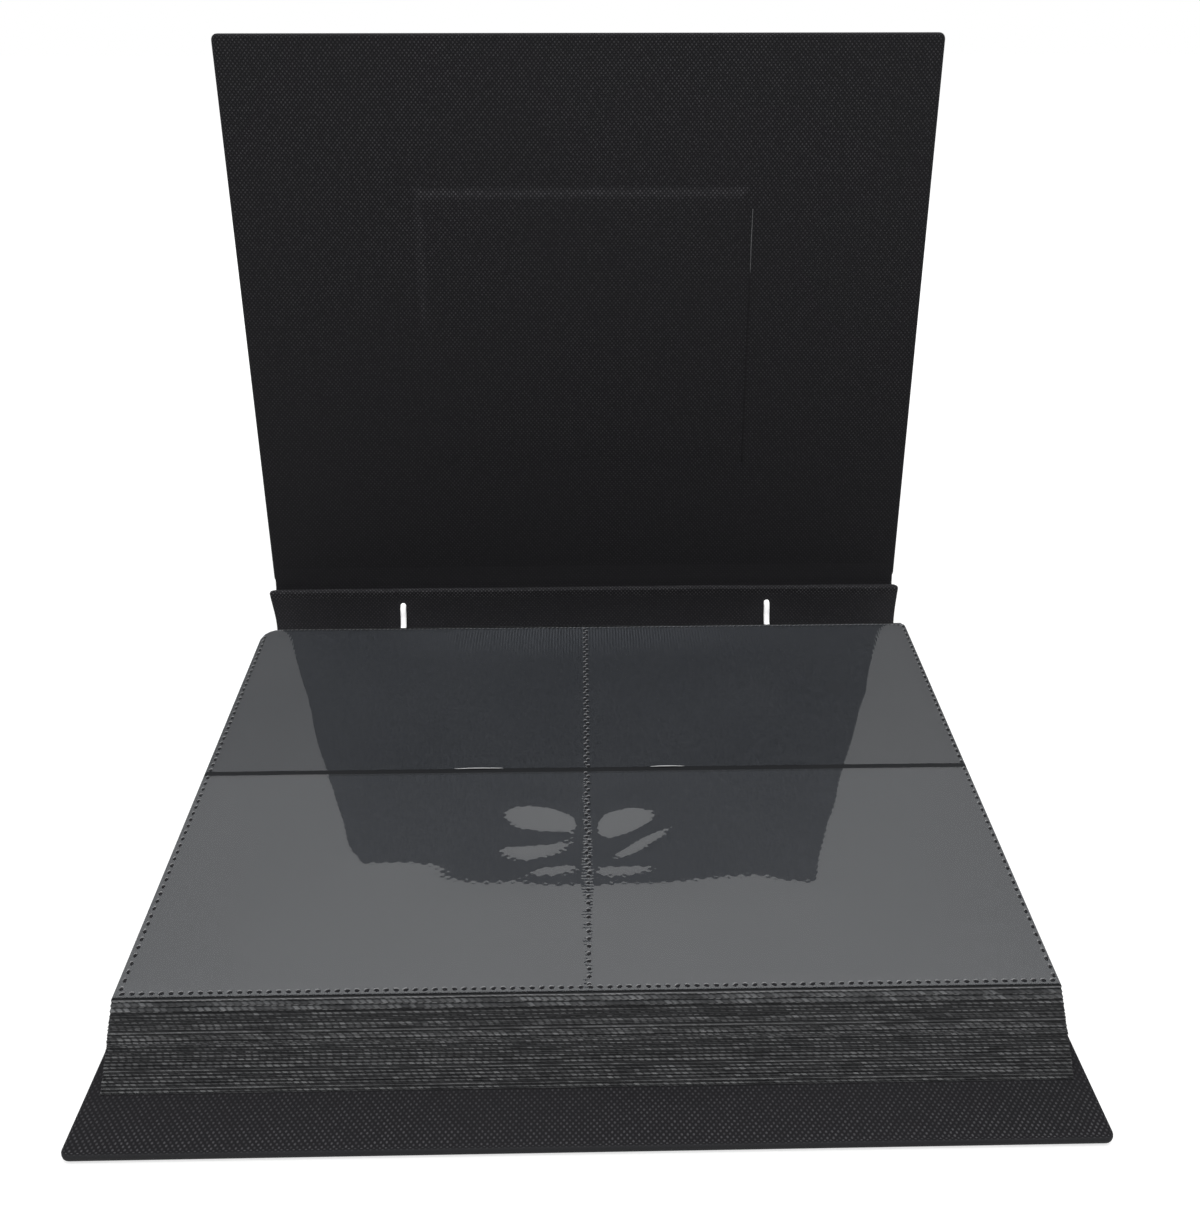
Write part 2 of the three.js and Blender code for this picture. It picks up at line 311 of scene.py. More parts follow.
class PieceTree(Nodes):
    def __init__(self, name, inputs):
        tree = bpy.data.node_groups.new(name, "GeometryNodeTree")
        for label, kind in {"Geometry": "Geometry", **inputs, "Finish": "Material"}.items():
            tree.interface.new_socket(name=label, in_out="INPUT", socket_type="NodeSocket" + kind)
        tree.interface.new_socket(name="Geometry", in_out="OUTPUT", socket_type="NodeSocketGeometry")
        super().__init__(tree)
        self.start = self.nodes.new("NodeGroupInput").outputs

    def store(self, geometry, name, kind, value):
        inputs = {"Geometry": geometry, "Name": name, "Value": value}
        node = self.add("GeometryNodeStoreNamedAttribute", inputs, data_type=kind, domain="INSTANCE")
        return node.outputs[0]

    def stored(self, name, kind):
        node = self.add("GeometryNodeInputNamedAttribute", {"Name": name}, data_type=kind)
        return node.outputs["Attribute"]

    def random(self, low, high, **inputs):
        inputs = {"Min": low, "Max": high, "Seed": self.start["Seed"], **inputs}
        return self.add("FunctionNodeRandomValue", inputs, data_type="FLOAT_VECTOR").outputs["Value"]

    def moved(self, geometry, offset):
        return self.add("GeometryNodeSetPosition", {"Geometry": geometry, "Offset": offset}).outputs[0]

    def real(self, geometry):
        return self.add("GeometryNodeRealizeInstances", {0: geometry}).outputs[0]

    def close(self, geometry):
        inputs = {"Geometry": geometry, "Material": self.start["Finish"]}
        painted = self.add("GeometryNodeSetMaterial", inputs)
        self.add("NodeGroupOutput", {0: painted.outputs[0]})
        return self.tree


def runTree(obj, tree, values):
    mod = obj.modifiers.new("nodes", "NODES")
    mod.node_group = tree
    for item in tree.interface.items_tree:
        if item.item_type == "SOCKET" and item.in_out == "INPUT" and item.name in values:
            mod[item.identifier] = values[item.name]
    return settle(obj)


def grey(r, g=None, b=None):
    return (r, r if g is None else g, r if b is None else b, 1.0)


weave = {
    "across": 1.95,         # between humps in a row, mm
    "along": 2.16,          # between every second row, mm
    "sway": 0.5,            # how far the rows wander, as a share of a cell
    "dot": (0.08, 0.40),    # where a thread's hump starts to fall and ends, as a share of a cell
    "dim": 0.45,            # the darkest hump beside the brightest
    "ground": grey(0.0125, 0.0123, 0.0136),
    "hump": grey(0.082, 0.081, 0.086),
    "edge": grey(0.026, 0.026, 0.028),
    "roughness": (0.60, 0.74),
    "relief": 0.10,
    "threads": (900, 3600, 1),
    "shine": 0.08,
}


def clothFinish(name, shading=1.0):
    t = Tree(name)
    flat = t.flat()
    turned = t.add("ShaderNodeMapping", {
        "Vector": flat,
        "Rotation": (0, 0, math.radians(45)),
        "Scale": (math.sqrt(2) / (weave["across"] * mm), math.sqrt(2) / (weave["along"] * mm), 1),
    }, vector_type="POINT").outputs["Vector"]
    slow = t.add("ShaderNodeTexNoise", {"Vector": flat, "Scale": 60.0, "Detail": 2.0}).outputs["Color"]
    sway = t.scaled(t.vector("SUBTRACT", slow, (0.5, 0.5, 0.5)), weave["sway"])
    placed = t.vector("ADD", turned, sway)
    inside = t.vector("SUBTRACT", t.vector("FRACTION", placed), (0.5, 0.5, 0.5))
    far = t.vector("LENGTH", t.vector("MULTIPLY", inside, (1, 1, 0)))
    dome = t.ramp(far, weave["dot"][1], weave["dot"][0])
    luck = t.luck(t.vector("FLOOR", placed))
    bright = t.times(dome, t.ramp(luck, 0.0, 1.0, weave["dim"], 1.0))
    broad = t.noise(flat, 9.0)
    ground, hump = (tuple(c * shading for c in weave[part][:3]) + (1.0,) for part in ("ground", "hump"))
    weaveFadeAndLight = t.wear()   # X: plain edge, Y: faded weave, partly painted shade, Z: painted light that makes the cloth paler
    shown = t.times(t.minus(1.0, weaveFadeAndLight["Y"]), t.cloudy(broad, 0.8, 1.2))
    shade = t.mix(t.times(bright, shown, clamp=True), ground, hump)
    # painted light: Z brightens the cloth where it is meant to catch more light
    shade = t.scaled(shade, t.plus(weaveFadeAndLight["Z"], 1.0))
    shade = t.mix(weaveFadeAndLight["X"], shade, weave["edge"])
    threads = t.drawn(flat, weave["threads"])
    relief = t.plus(t.times(dome, t.minus(1.0, weaveFadeAndLight["X"])), t.times(threads, 0.25))
    normal = t.bump(relief, weave["relief"] * mm, 0.8)
    return t.paint(shade, t.cloudy(broad, *weave["roughness"]), normal, weave["shine"])


sheetLook = {
    "dull": grey(0.019, 0.0205, 0.0235),
    "clear": grey(0.024, 0.0255, 0.0285),
    "fibre": grey(0.033, 0.035, 0.039),
    "shadow": grey(0.004),
    "slot": 104.1,          # middle of the shade between the two rows of pockets, mm
    "slotHalf": (2.1, 1.5),
    "slotDark": 0.6,
    "rim": (1.6, 1.0),      # where the shade at the leaf's front edge starts and is full
    "rimDark": 0.9,
    "roughness": 0.55,
    "shine": 0.15,
}


def sheetFinish():
    t = Tree("black_sheet")
    flat = t.flat()
    fibre = t.noise(flat, 700.0, 4.0)
    shade = t.mix(t.cloudy(t.noise(flat, 14.0)), sheetLook["dull"], sheetLook["clear"])
    shade = t.mix(t.times(fibre, 0.3), shade, sheetLook["fibre"])
    # the slot between the two rows of pockets lies in the films' shade
    s = t.split(flat)["Y"]
    outer, inner = (half * mm for half in sheetLook["slotHalf"])
    slot = t.ramp(t.size(t.minus(s, sheetLook["slot"] * mm)), outer, inner, 0.0, sheetLook["slotDark"])
    low, high = ((leaf["depth"] - inset) * mm for inset in sheetLook["rim"])
    shaded = t.larger(slot, t.ramp(s, low, high, 0.0, sheetLook["rimDark"]))
    shade = t.mix(shaded, shade, sheetLook["shadow"])
    return t.paint(shade, sheetLook["roughness"], t.bump(fibre, 0.04 * mm, 0.5), sheetLook["shine"])


filmLook = {
    "mirror": 0.093,        # what the film mirrors head on
    "rise": (7.0, 0.9),     # how steeply and how far that grows towards a flat view
    "gloss": 0.02,
    "haze": (0.022, 0.056),  # in the back and the front pockets; the front pockets' extra haze is painted reflection
    "hazeInside": 0.008,
    "hazeColour": grey(0.33, 0.35, 0.38),
    "hazeRoughness": 0.4,
    "clear": grey(0.97, 0.975, 0.98),
    "corner": 0.74,         # how much of the mirror is left towards the bound edge's left end: painted shade on the reflection there
    "cornerSpan": (-150, 60),
    "level": 0.0594,        # how far the film is pulled level against the leaf's slope
    "grainPitch": (5.0, 2.5),  # fine relief pressed into the film, across and along, mm
    "grain": 0.0009,
    "bulge": (138, 55, 30),  # place of the bulges from the bound edge, half width, half depth, mm
    "bulgeGrain": 4.0,      # how much deeper the grain is there
    "crimpPitch": 1.45,
    "crimp": 0.03,
    "pleat": 0.07,          # how much a pleat's crest is brightened in the film's haze: a painted highlight
    "pleatReach": 34,       # from the bound edge, mm
    "pleatSpan": (120, 35),  # where the pleats start and are full, from the middle
    "seamReach": (2.6, 0.5),  # the same for the short pleats across the middle weld
    "stitch": 0.2,          # how much the bound edge's own small stitches cloud it
    "stitchPitch": 2.2,
    "stitchBand": (1.5, 0.9),
    "soft": 0.10,           # slow relief of the whole film, mm
    "streak": ((1400, 200, 1), 0.010),
    "speck": (1500.0, 0.018),
    "edge": (0.9, 1.5),     # where the painted shade at the leaf's front edge is full and where it starts, mm from it
}


def filmGrain(t, flat, x, s):
    turnX, turnS = (2 * math.pi / (pitch * mm) for pitch in filmLook["grainPitch"])
    grain = t.times(t.sine(t.times(x, turnX)), t.sine(t.times(s, turnS)))
    # the grain is deeper where the pockets bulge beside the middle weld
    at, wide, deep = filmLook["bulge"]
    bulge = t.vector("SUBTRACT", flat, (0, at * mm, 0))
    bulge = t.vector("MULTIPLY", bulge, (1 / (wide * mm), 1 / (deep * mm), 0))
    return t.times(grain, t.ramp(t.vector("LENGTH", bulge), 1.0, 0.6, 1.0, filmLook["bulgeGrain"]))


def filmPleats(t, flat, x, s):
    # pleats that run from the weld along the bound edge, and short ones across the middle weld
    turn = 2 * math.pi / (filmLook["crimpPitch"] * mm)
    pleat = t.sine(t.plus(t.times(x, turn), t.times(t.noise(flat, 30.0, 2.0), 5.0)))
    nearBack = t.ramp(s, filmLook["pleatReach"] * mm, 0.0)
    midst = t.ramp(t.size(x), filmLook["pleatSpan"][0] * mm, filmLook["pleatSpan"][1] * mm, 0.15, 1.0)
    back = t.times(pleat, t.times(nearBack, midst))
    uneven = t.noise(flat, 260.0, 2.0)
    across = t.times(t.sine(t.times(s, turn)), t.ramp(uneven, 0.35, 0.65, 0.1, 1.3))
    aside = t.plus(x, t.times(t.minus(uneven, 0.5), 4 * mm))
    nearSeam = t.ramp(t.size(aside), filmLook["seamReach"][0] * mm, filmLook["seamReach"][1] * mm)
    return back, t.times(across, nearSeam)


def filmCloudAndShine(t, flat, x, s, pleats):
    (scale, streak), (fine, speck) = filmLook["streak"], filmLook["speck"]
    streaks = t.cloudy(t.drawn(flat, scale, 3.0), -streak, streak)
    cloud = t.plus(streaks, t.cloudy(t.noise(flat, fine, 2.0), -speck, speck))
    # painted highlight: the pleats' crests are brightened in the haze
    cloud = t.plus(cloud, t.times(t.larger(pleats, 0.0), filmLook["pleat"]))
    stitch = t.ramp(t.sine(t.times(x, 2 * math.pi / (filmLook["stitchPitch"] * mm))), -0.2, 0.6)
    low, high = (reach * mm for reach in filmLook["stitchBand"])
    return t.plus(cloud, t.times(stitch, t.ramp(s, low, high, 0.0, filmLook["stitch"])))


def filmFinish(name, mirrored=True):
    t = Tree(name)
    flat = t.flat()
    parts = t.split(flat)
    x, s = parts["X"], parts["Y"]
    level = t.times(s, filmLook["level"] / (filmLook["grain"] * mm))
    tilt = t.bump(level, filmLook["grain"] * mm)
    normal = t.bump(t.plus(filmGrain(t, flat, x, s), level), filmLook["grain"] * mm)
    back, seam = filmPleats(t, flat, x, s)
    normal = t.bump(t.plus(back, seam), filmLook["crimp"] * mm, 1.0, normal)
    normal = t.bump(t.noise(flat, 26.0, 2.0), filmLook["soft"] * mm, 1.0, normal)
    inFront = t.ramp(s, 103 * mm, 104.5 * mm)
    # painted reflection: the front pockets get more haze to stand in for their brighter reflection
    backHaze, frontHazeAndSheen = filmLook["haze"]
    rowHazeAndSheen = t.plus(t.times(inFront, frontHazeAndSheen - backHaze), backHaze)
    hazeAndShine = t.plus(filmCloudAndShine(t, flat, x, s, back), rowHazeAndSheen if mirrored else filmLook["hazeInside"], clamp=True)
    # painted shade: over its last mm at the leaf's front edge the film mirrors nothing and has no haze, so it
    # shows as a dark strip
    edgeShadeFull, edgeShadeStart = ((leaf["depth"] - inset) * mm for inset in filmLook["edge"])
    clearOfEdgeShade = t.ramp(s, edgeShadeFull, edgeShadeStart)
    clear = t.add("ShaderNodeBsdfTransparent", {"Color": filmLook["clear"]})
    t.give(t.shader.inputs["Base Color"], filmLook["hazeColour"])
    t.give(t.shader.inputs["Roughness"], filmLook["hazeRoughness"])
    body = t.layered(t.times(hazeAndShine, clearOfEdgeShade), clear, t.shader)
    if not mirrored:
        return t.show(body)
    facing = t.add("ShaderNodeLayerWeight", {"Blend": 0.5, "Normal": tilt}).outputs["Facing"]
    power, gain = filmLook["rise"]
    mirror = t.plus(t.times(t.math("POWER", facing, power), gain), filmLook["mirror"], clamp=True)
    # painted shade: the back row's mirror is weakened towards its left end
    low, high = (edge * mm for edge in filmLook["cornerSpan"])
    kept = t.larger(inFront, t.ramp(x, low, high, filmLook["corner"], 0.95))
    mirror = t.times(t.times(mirror, clearOfEdgeShade), kept)
    gloss = {"Color": grey(1.0), "Roughness": filmLook["gloss"], "Normal": normal}
    return t.show(t.layered(mirror, body, t.add("ShaderNodeBsdfGlossy", gloss)))


edgeLook = {
    "dark": grey(0.008, 0.0082, 0.009),
    "light": grey(0.38, 0.384, 0.39),
    "dash": 2.5,            # between weld marks along a leaf's edge, mm
    "whole": 0.90,          # leaves whose luck is above this shine all along
    "fold": 0.975,          # and above this they are folds, brighter still
    "shift": (7.0, 1.2),    # how far luck and drift move a leaf's dashes, in dashes
    "lucky": (0.51, 0.64),  # from dark to light leaves
    "least": 0.12,          # what a dark leaf keeps of the shine
    "roughness": 0.45,
    "shine": 0.3,
}


def leafEdgeFinish():
    t = Tree("stacked_leaves")
    place = t.place()
    luck = t.add("ShaderNodeAttribute", attribute_name="leafLuck").outputs["Fac"]
    parts = t.split(place)
    around = t.plus(parts["X"], parts["Y"])
    drift = t.drawn(place, (14, 14, 240))
    shift = t.plus(t.times(luck, edgeLook["shift"][0]), t.times(drift, edgeLook["shift"][1]))
    turn = t.plus(t.math("DIVIDE", around, edgeLook["dash"] * mm), shift)
    own = t.luck(t.join(X=t.math("FLOOR", turn), Y=t.times(luck, 97.0)))
    aside = t.size(t.minus(t.math("FRACT", turn), 0.5))
    dash = t.times(t.ramp(aside, 0.46, 0.24), t.ramp(own, 0.0, 1.0, 0.35, 1.0))
    fold = t.ramp(luck, edgeLook["fold"], edgeLook["fold"] + 0.01)
    whole = t.ramp(luck, edgeLook["whole"], edgeLook["whole"] + 0.03, 0.0, 0.55)
    along = t.join(X=t.times(around, 70.0), Y=t.times(luck, 53.0))
    streak = t.ramp(t.noise(along, 1.0, 3.0, 0.65), 0.36, 0.60, 0.3, 1.0)
    lit = t.times(t.larger(t.larger(dash, whole), 0.2), streak)
    lit = t.larger(lit, t.times(fold, t.plus(t.times(dash, 0.5), 0.45)))
    # a leaf's upper and lower faces stay darker than its edge
    level = t.size(t.split(t.add("ShaderNodeNewGeometry").outputs["Normal"])["Z"])
    lit = t.times(lit, t.ramp(level, 0.6, 0.9, 1.0, 0.3))
    lit = t.times(lit, t.ramp(luck, *edgeLook["lucky"], edgeLook["least"], 1.0))
    shade = t.mix(lit, edgeLook["dark"], edgeLook["light"])
    return t.paint(shade, edgeLook["roughness"], t.bump(dash, 0.04 * mm, 0.6), edgeLook["shine"])


nylonLook = {
    "low": grey(0.93, 0.93, 0.92),
    "high": grey(0.97, 0.97, 0.96),
    "roughness": (0.3, 0.42),
    "glow": 0.4,            # painted glow: emission that brightens the posts, which are no lamp
}


def nylonFinish():
    t = Tree("white_nylon")
    cloud = t.noise(t.place(), 240.0)
    shade = t.mix(t.cloudy(cloud), nylonLook["low"], nylonLook["high"])
    # painted light: the posts glow
    t.give(t.shader.inputs["Emission Color"], grey(1.0))
    t.give(t.shader.inputs["Emission Strength"], nylonLook["glow"])
    return t.paint(shade, t.cloudy(cloud, *nylonLook["roughness"]), t.bump(cloud, 0.03 * mm, 0.4), 0.5)


def boardFinish():
    t = Tree("grey_board")
    place = t.place()
    fibre = t.noise(place, 900.0, 4.0)
    cloud = t.noise(place, 60.0)
    shade = t.mix(fibre, grey(0.17, 0.16, 0.145), grey(0.31, 0.295, 0.27))
    shade = t.mix(t.times(cloud, 0.3), shade, grey(0.2, 0.19, 0.175))
    return t.paint(shade, 0.92, t.bump(fibre, 0.08 * mm, 0.7), 0.2)


def stripFinish():
    t = Tree("binding_strip")
    fibre = t.noise(t.place(), 800.0, 4.0)
    shade = t.mix(fibre, grey(0.02), grey(0.04, 0.04, 0.042))
    return t.paint(shade, 0.75, t.bump(fibre, 0.06 * mm, 0.6), 0.3)


weldLook = {
    "pit": (grey(0.005, 0.005, 0.006), grey(0.011, 0.011, 0.013)),
    # the lip's pale colour is a painted highlight, shown only where the rim is lit
    "lip": (grey(0.17, 0.172, 0.176), grey(0.30, 0.303, 0.308)),
    "roughness": (0.7, 0.25),   # in the pit and on the lip
}


def weldFinish():
    t = Tree("weld_marks")
    cloud = t.noise(t.place(), 500.0, 2.0)
    # the rim's brightness is a painted highlight carried by the dots' X channel
    rim = t.wear()["X"]
    pit = t.mix(cloud, *weldLook["pit"])
    lip = t.mix(cloud, *weldLook["lip"])
    shade = t.mix(t.ramp(rim, 0.05, 1.0, smooth=False), pit, lip)
    rough = t.ramp(rim, 0.0, 1.0, *weldLook["roughness"])
    return t.paint(shade, rough, t.bump(cloud, 0.05 * mm, 0.6), 0.35)


def foldFinish(name, low, high):
    t = Tree(name)
    threads = t.drawn(t.flat(), (2600, 700, 1))
    shade = t.mix(t.cloudy(threads), low, high)
    return t.paint(shade, 0.7, t.bump(threads, 0.05 * mm, 0.6), 0.15)


coverCloth = clothFinish("book_cloth")
# a 5% darker copy of the cloth, used for the whole front cover: painted shade on the standing cover
shadedLiningCloth = clothFinish("lining_cloth", 0.95)
# pale lips at the pockets' mouths: painted highlight
filmLipHighlight = foldFinish("film_lip", grey(0.42, 0.424, 0.43), grey(0.6, 0.604, 0.61))
# the slit's open lip is pale, a painted highlight; its shut part is painted shade
slitFoldHighlight = foldFinish("slit_fold", grey(0.07, 0.071, 0.074), grey(0.13, 0.132, 0.136))
slitShade = foldFinish("slit_shade", grey(0.0075, 0.007, 0.008), grey(0.011, 0.0105, 0.012))
blackSheet = sheetFinish()
clearFilm = filmFinish("clear_film")
filmInside = filmFinish("film_inside", mirrored=False)
leafEdges = leafEdgeFinish()
whiteNylon = nylonFinish()
weldMarks = weldFinish()

finishOfSlot = {
    "book_cloth": coverCloth,
    "lining_cloth": shadedLiningCloth,
    "grey_board": boardFinish(),
    "black_sheet": blackSheet,
    "stacked_leaves": leafEdges,
    "binding_strip": stripFinish(),
    "clear_film": clearFilm,
    "white_nylon": whiteNylon,
}
for row in frame["record"]["subparts"]:
    finish(frame["nodes"][row["node"]], finishOfSlot[row["material_slot"]])
print("finishes made")


def roundedLoop(hx, hy, r, nSide=22, nCorner=5):
    r = max(min(r, hx * 0.9, hy * 0.9), 0.05)
    points = []
    corners = [(hx - r, hy - r, 0), (-hx + r, hy - r, 90), (-hx + r, -hy + r, 180), (hx - r, -hy + r, 270)]
    for i, (cx, cy, start) in enumerate(corners):
        for k in range(nCorner + 1):
            a = math.radians(start + 90 * k / nCorner)
            points.append((cx + r * math.cos(a), cy + r * math.sin(a)))
        nx, ny, nstart = corners[(i + 1) % 4]
        a = math.radians(nstart)
        goal = (nx + r * math.cos(a), ny + r * math.sin(a))
        last = points[-1]
        for k in range(1, nSide):
            f = k / nSide
            points.append((last[0] + (goal[0] - last[0]) * f, last[1] + (goal[1] - last[1]) * f))
    return points


# the cloth of a cover is one skin, rounded over the board's edges
skinSteps = {
    "round": (0, 22.5, 45, 67.5, 90),                       # degrees round the board's edge
    "flat": (0.12, 0.3, 0.5, 0.7, 0.86, 0.95, 0.985),       # shares of the way from the middle out
    "middle": (0.5, 0.4),                                   # half sizes of the innermost loop, mm
    "windowWall": 0.9,                                      # radius round the window's edge
    "print": ((3.2, 0), (2.2, 0.1), (0, 0.5), (-2.2, 0.9), (-3.2, 1)),   # aside and share of the depth
}


def coverLoops(window=None, printed=None):
    # half width, half depth, corner radius, height and how far the cloth has run round the edge
    w, d, tall, e = case["width"] / 2, case["depth"] / 2, case["thick"], case["edgeRound"]
    middle = skinSteps["middle"]
    loops = []
    if window:
        hx, hy, wall = window
        r = skinSteps["windowWall"]
        loops += [(hx - 0.4, hy - 0.4, 0.6, wall, 0), (hx - 0.4, hy - 0.4, 0.6, r, 0)]
        for a in (30, 60, 90):
            c = math.radians(a)
            out = r * (1 - math.cos(c)) - 0.4
            loops.append((hx + out, hy + out, 0.8, r * (1 - math.sin(c)), 0))
        start = (hx + 0.6, hy + 0.6)
    else:
        start = middle
        loops.append((*start, 0.2, 0, 0))
    for f in skinSteps["flat"]:
        loops.append((between(start[0], w - e, f), between(start[1], d - e, f), 1.5, 0, 0))
    for steps, low, way in ((skinSteps["round"], 0, 1), (skinSteps["round"][::-1], tall, -1)):
        for a in steps:
            c = math.radians(a)
            inward = e * (1 - math.sin(c))
            height = low + way * e * (1 - math.cos(c))
            loops.append((w - inward, d - inward, case["corner"] - inward, height, e * c))
    inner = printed or middle
    for f in skinSteps["flat"][::-1]:
        loops.append((between(inner[0], w - e, f), between(inner[1], d - e, f), 1.5, tall, 0))
    sink = 0
    if printed:
        px, py, sink = printed
        for (aside, share), r in zip(skinSteps["print"], (1.5, 1.5, 1.2, 1.0, 1.0)):
            loops.append((px + aside, py + aside, r, tall - sink * share, 0))
        for f in (0.8, 0.6, 0.4, 0.2):
            loops.append((middle[0] + px * f, middle[1] + py * f, 1.0, tall - sink, 0))
    loops.append((*middle, 0.2, tall - sink, 0))
    return loops


skinLook = {
    "warp": 0.14,           # height of the inner face's slow waves, mm
    "flatEdge": 20,         # from the board's edge to where they are full
    "plainFrom": 1.0,       # how far round the edge the weave stops
    "fade": (0.9, 0.3),     # most that the weave fades on the inner face, and its fade on the outer one
    "band": (3.3, 2.5),     # reach of the painted highlight, a paler rim along the print-through, inwards and outwards
    "sides": (1.0, 0.45),   # how strong that painted highlight is along the top and along the upper left
    "pale": 0.4,
}


def coverSkin(name, place, window=None, printed=None, faint=(0.0, 0.0)):
    points, uv, wear = [], [], []
    loops = coverLoops(window, printed)
    n = len(roundedLoop(10, 10, 1))
    for hx, hy, r, z, wrap in loops:
        upper = z > case["thick"] / 2
        ring = roundedLoop(hx, hy, max(r, 0.1))
        spread = roundedLoop(hx + wrap, hy + wrap, max(r, 0.1) + wrap)
        for (x, y), (u, v) in zip(ring, spread):
            sag = skinLook["warp"] * (0.5 + 0.5 * math.sin(x / 47.0 + 1.0) * math.sin(y / 39.0 + 0.4))
            fromEdge = min(case["width"] / 2 - abs(x), case["depth"] / 2 - abs(y))
            sag *= clamped(fromEdge / skinLook["flatEdge"]) if upper else 0
            points.append(place(x, y, z + sag))
            uv.append((u * mm + (0 if upper else 0.5), v * mm))
            most, outside = skinLook["fade"]
            # the weave's dots fade along the cover; on the front cover they fade more towards its foot,
            # painted shade standing in for the light on its upper part; on the back cover they fade away from
            # its front edge
            fade = min(most, between(*faint, y / case["depth"] + 0.5)) if upper else outside
            pale = 0.0
            # painted highlight: the cloth is paler and its dots stronger along the print-through's top and
            # upper left, where its rim catches the light
            if printed and upper and -skinLook["band"][0] < hx - printed[0] < skinLook["band"][1]:
                top, left = skinLook["sides"]
                side = top if y > hy - 0.5 else (left if x < 0 < y else 0.0)
                pale = side * (1 - abs(hx - printed[0]) / skinLook["band"][0])
                fade *= 1 - 0.6 * pale
            plain = 1.0 if wrap > skinLook["plainFrom"] else 0.0
            wear.append((plain, fade, pale * skinLook["pale"]))
    faces = tubeFaces(len(loops), n)
    if window:
        del faces[-2]
    obj = meshObject(name, points, faces, uv, wear=wear)
    return giveThickness(obj, case["clothThick"])


def onBackCover(x, y, z):
    return (x, y, z)


leanTurn = math.radians(90 - case["lean"])
coverUp = (math.cos(leanTurn), math.sin(leanTurn))
coverFace = (-math.sin(leanTurn), math.cos(leanTurn))
drop = math.radians(case["frontDrop"])
coverFoot = (
    spineTop[0] + case["frontJoint"] * math.cos(drop),
    spineTop[1] - case["frontJoint"] * math.sin(drop),
)


def onFrontCover(x, y, z):
    along = y + case["depth"] / 2 + case["jointThick"] / 2 + case["jointGap"]
    out = z - case["jointThick"] / 2
    y, z = (coverFoot[i] + coverUp[i] * along + coverFace[i] * out for i in (0, 1))
    return (x, y, z)


backSkin = coverSkin("backCoverCloth", onBackCover, faint=(0.15, 5.6))
finish(backSkin, coverCloth, "back_cover", "book_cloth", ("back_cover_cloth", "back_cover_lining"))
windowSize = (74, 49, 1.7)      # half width, half height, depth of the opening, mm
printSize = (79, 64.0, -0.2)    # the same of its print-through, which stands out
# the front cover's faint values paint shade: its weave fades towards the foot
frontSkin = coverSkin("frontCoverCloth", onFrontCover, windowSize, printSize, faint=(0.84, 0.36))
# the front cover takes the darker copy of the cloth, painted shade
finish(frontSkin, shadedLiningCloth, "front_cover", "book_cloth", ("front_cover_cloth", "front_cover_lining"))


windowPocket = {
    "width": 166.0,
    "height": 131.0,
    "film": (1.95, 2.15),   # how deep it lies in the cover, mm
    "backing": (2.45, 3.05),
    "slit": 83.0,           # place of the slit beside it, from the cover's middle
    "lip": (27.0, 56.5),    # heights over that middle between which the slit stands open
    "shut": (-67.5, 27.0),  # and where it lies shut
}


def slab(name, low, high, place, columns=30, rows=24):
    points, uv = [], []
    n = columns * rows
    for z in (low[2], high[2]):
        for i in range(rows):
            for j in range(columns):
                x = between(low[0], high[0], j / (columns - 1))
                y = between(low[1], high[1], i / (rows - 1))
                points.append(place(x, y, z))
                uv.append((x * mm + 0.3, y * mm + 0.3))
    faces = gridFaces(rows, columns, flip=True) + [tuple(n + k for k in f) for f in gridFaces(rows, columns)]
    rim = list(range(columns)) + [i * columns + columns - 1 for i in range(1, rows)]
    rim += [(rows - 1) * columns + j for j in range(columns - 2, -1, -1)]
    rim += [i * columns for i in range(rows - 2, 0, -1)]
    for a, b in zip(rim, rim[1:] + rim[:1]):
        faces.append((a, b, n + b, n + a))
    return meshObject(name, points, faces, uv, smooth=False)


halfWide, halfHigh = windowPocket["width"] / 2, windowPocket["height"] / 2
for layer, material, slot in (("film", clearFilm, "clear_film"), ("backing", blackSheet, "black_sheet")):
    low, high = windowPocket[layer]
    low, high = (-halfWide, -halfHigh, low), (halfWide, halfHigh, high)
    pane = slab("window" + layer.capitalize(), low, high, onFrontCover)
    finish(pane, material, "front_cover", slot, ("window_" + layer,))


def slitLip(name, span, wide, rise, steps=24):
    points, uv, wear = [], [], []
    top = case["thick"] + 0.05
    section = ((-0.5, -0.2), (0.5, -0.2), (0.5, 0.5), (0.2, 1.0), (-0.2, 1.0), (-0.5, 0.5))
    for k in range(steps):
        y = between(*span, k / (steps - 1))
        taper = math.sin(math.pi * (0.04 + 0.92 * k / (steps - 1))) ** 0.35
        for dx, dz in section:
            x = windowPocket["slit"] + dx * wide * taper + 0.12 * math.sin(y / 9.0)
            points.append(onFrontCover(x, y, top + 0.15 + dz * rise * taper))
            uv.append((x * mm, y * mm))
            wear.append((1.0, 0.0, 0.0))
    return meshObject(name, points, tubeFaces(steps, len(section), flip=True), uv, wear=wear)


# the slit's open lip is painted as a highlight; the shut part below is a dark piece of painted shade
finish(slitLip("windowSlitLip", windowPocket["lip"], 0.5, 0.3), slitFoldHighlight, "front_cover", "lining_cloth")
finish(slitLip("windowSlitFold", windowPocket["shut"], 0.9, 0.1), slitShade, "front_cover", "lining_cloth")
print("covers made")


bowRadius = ((spine["height"] / 2) ** 2 + spine["bow"] ** 2) / (2 * spine["bow"])
bowAngle = math.asin(spine["height"] / 2 / bowRadius)
spineArc = 2 * bowRadius * bowAngle


def onSpine(depthIn, along):
    share = 2 * along / spineArc - 1
    r = bowRadius - depthIn
    y = r * math.cos(share * bowAngle) - bowRadius * math.cos(bowAngle)
    z = spine["height"] / 2 + r * math.sin(share * bowAngle)
    lean = math.radians(spine["lean"])
    return (
        spineFoot[0] + y * math.cos(lean) + z * math.sin(lean),
        spineFoot[1] - y * math.sin(lean) + z * math.cos(lean),
    )


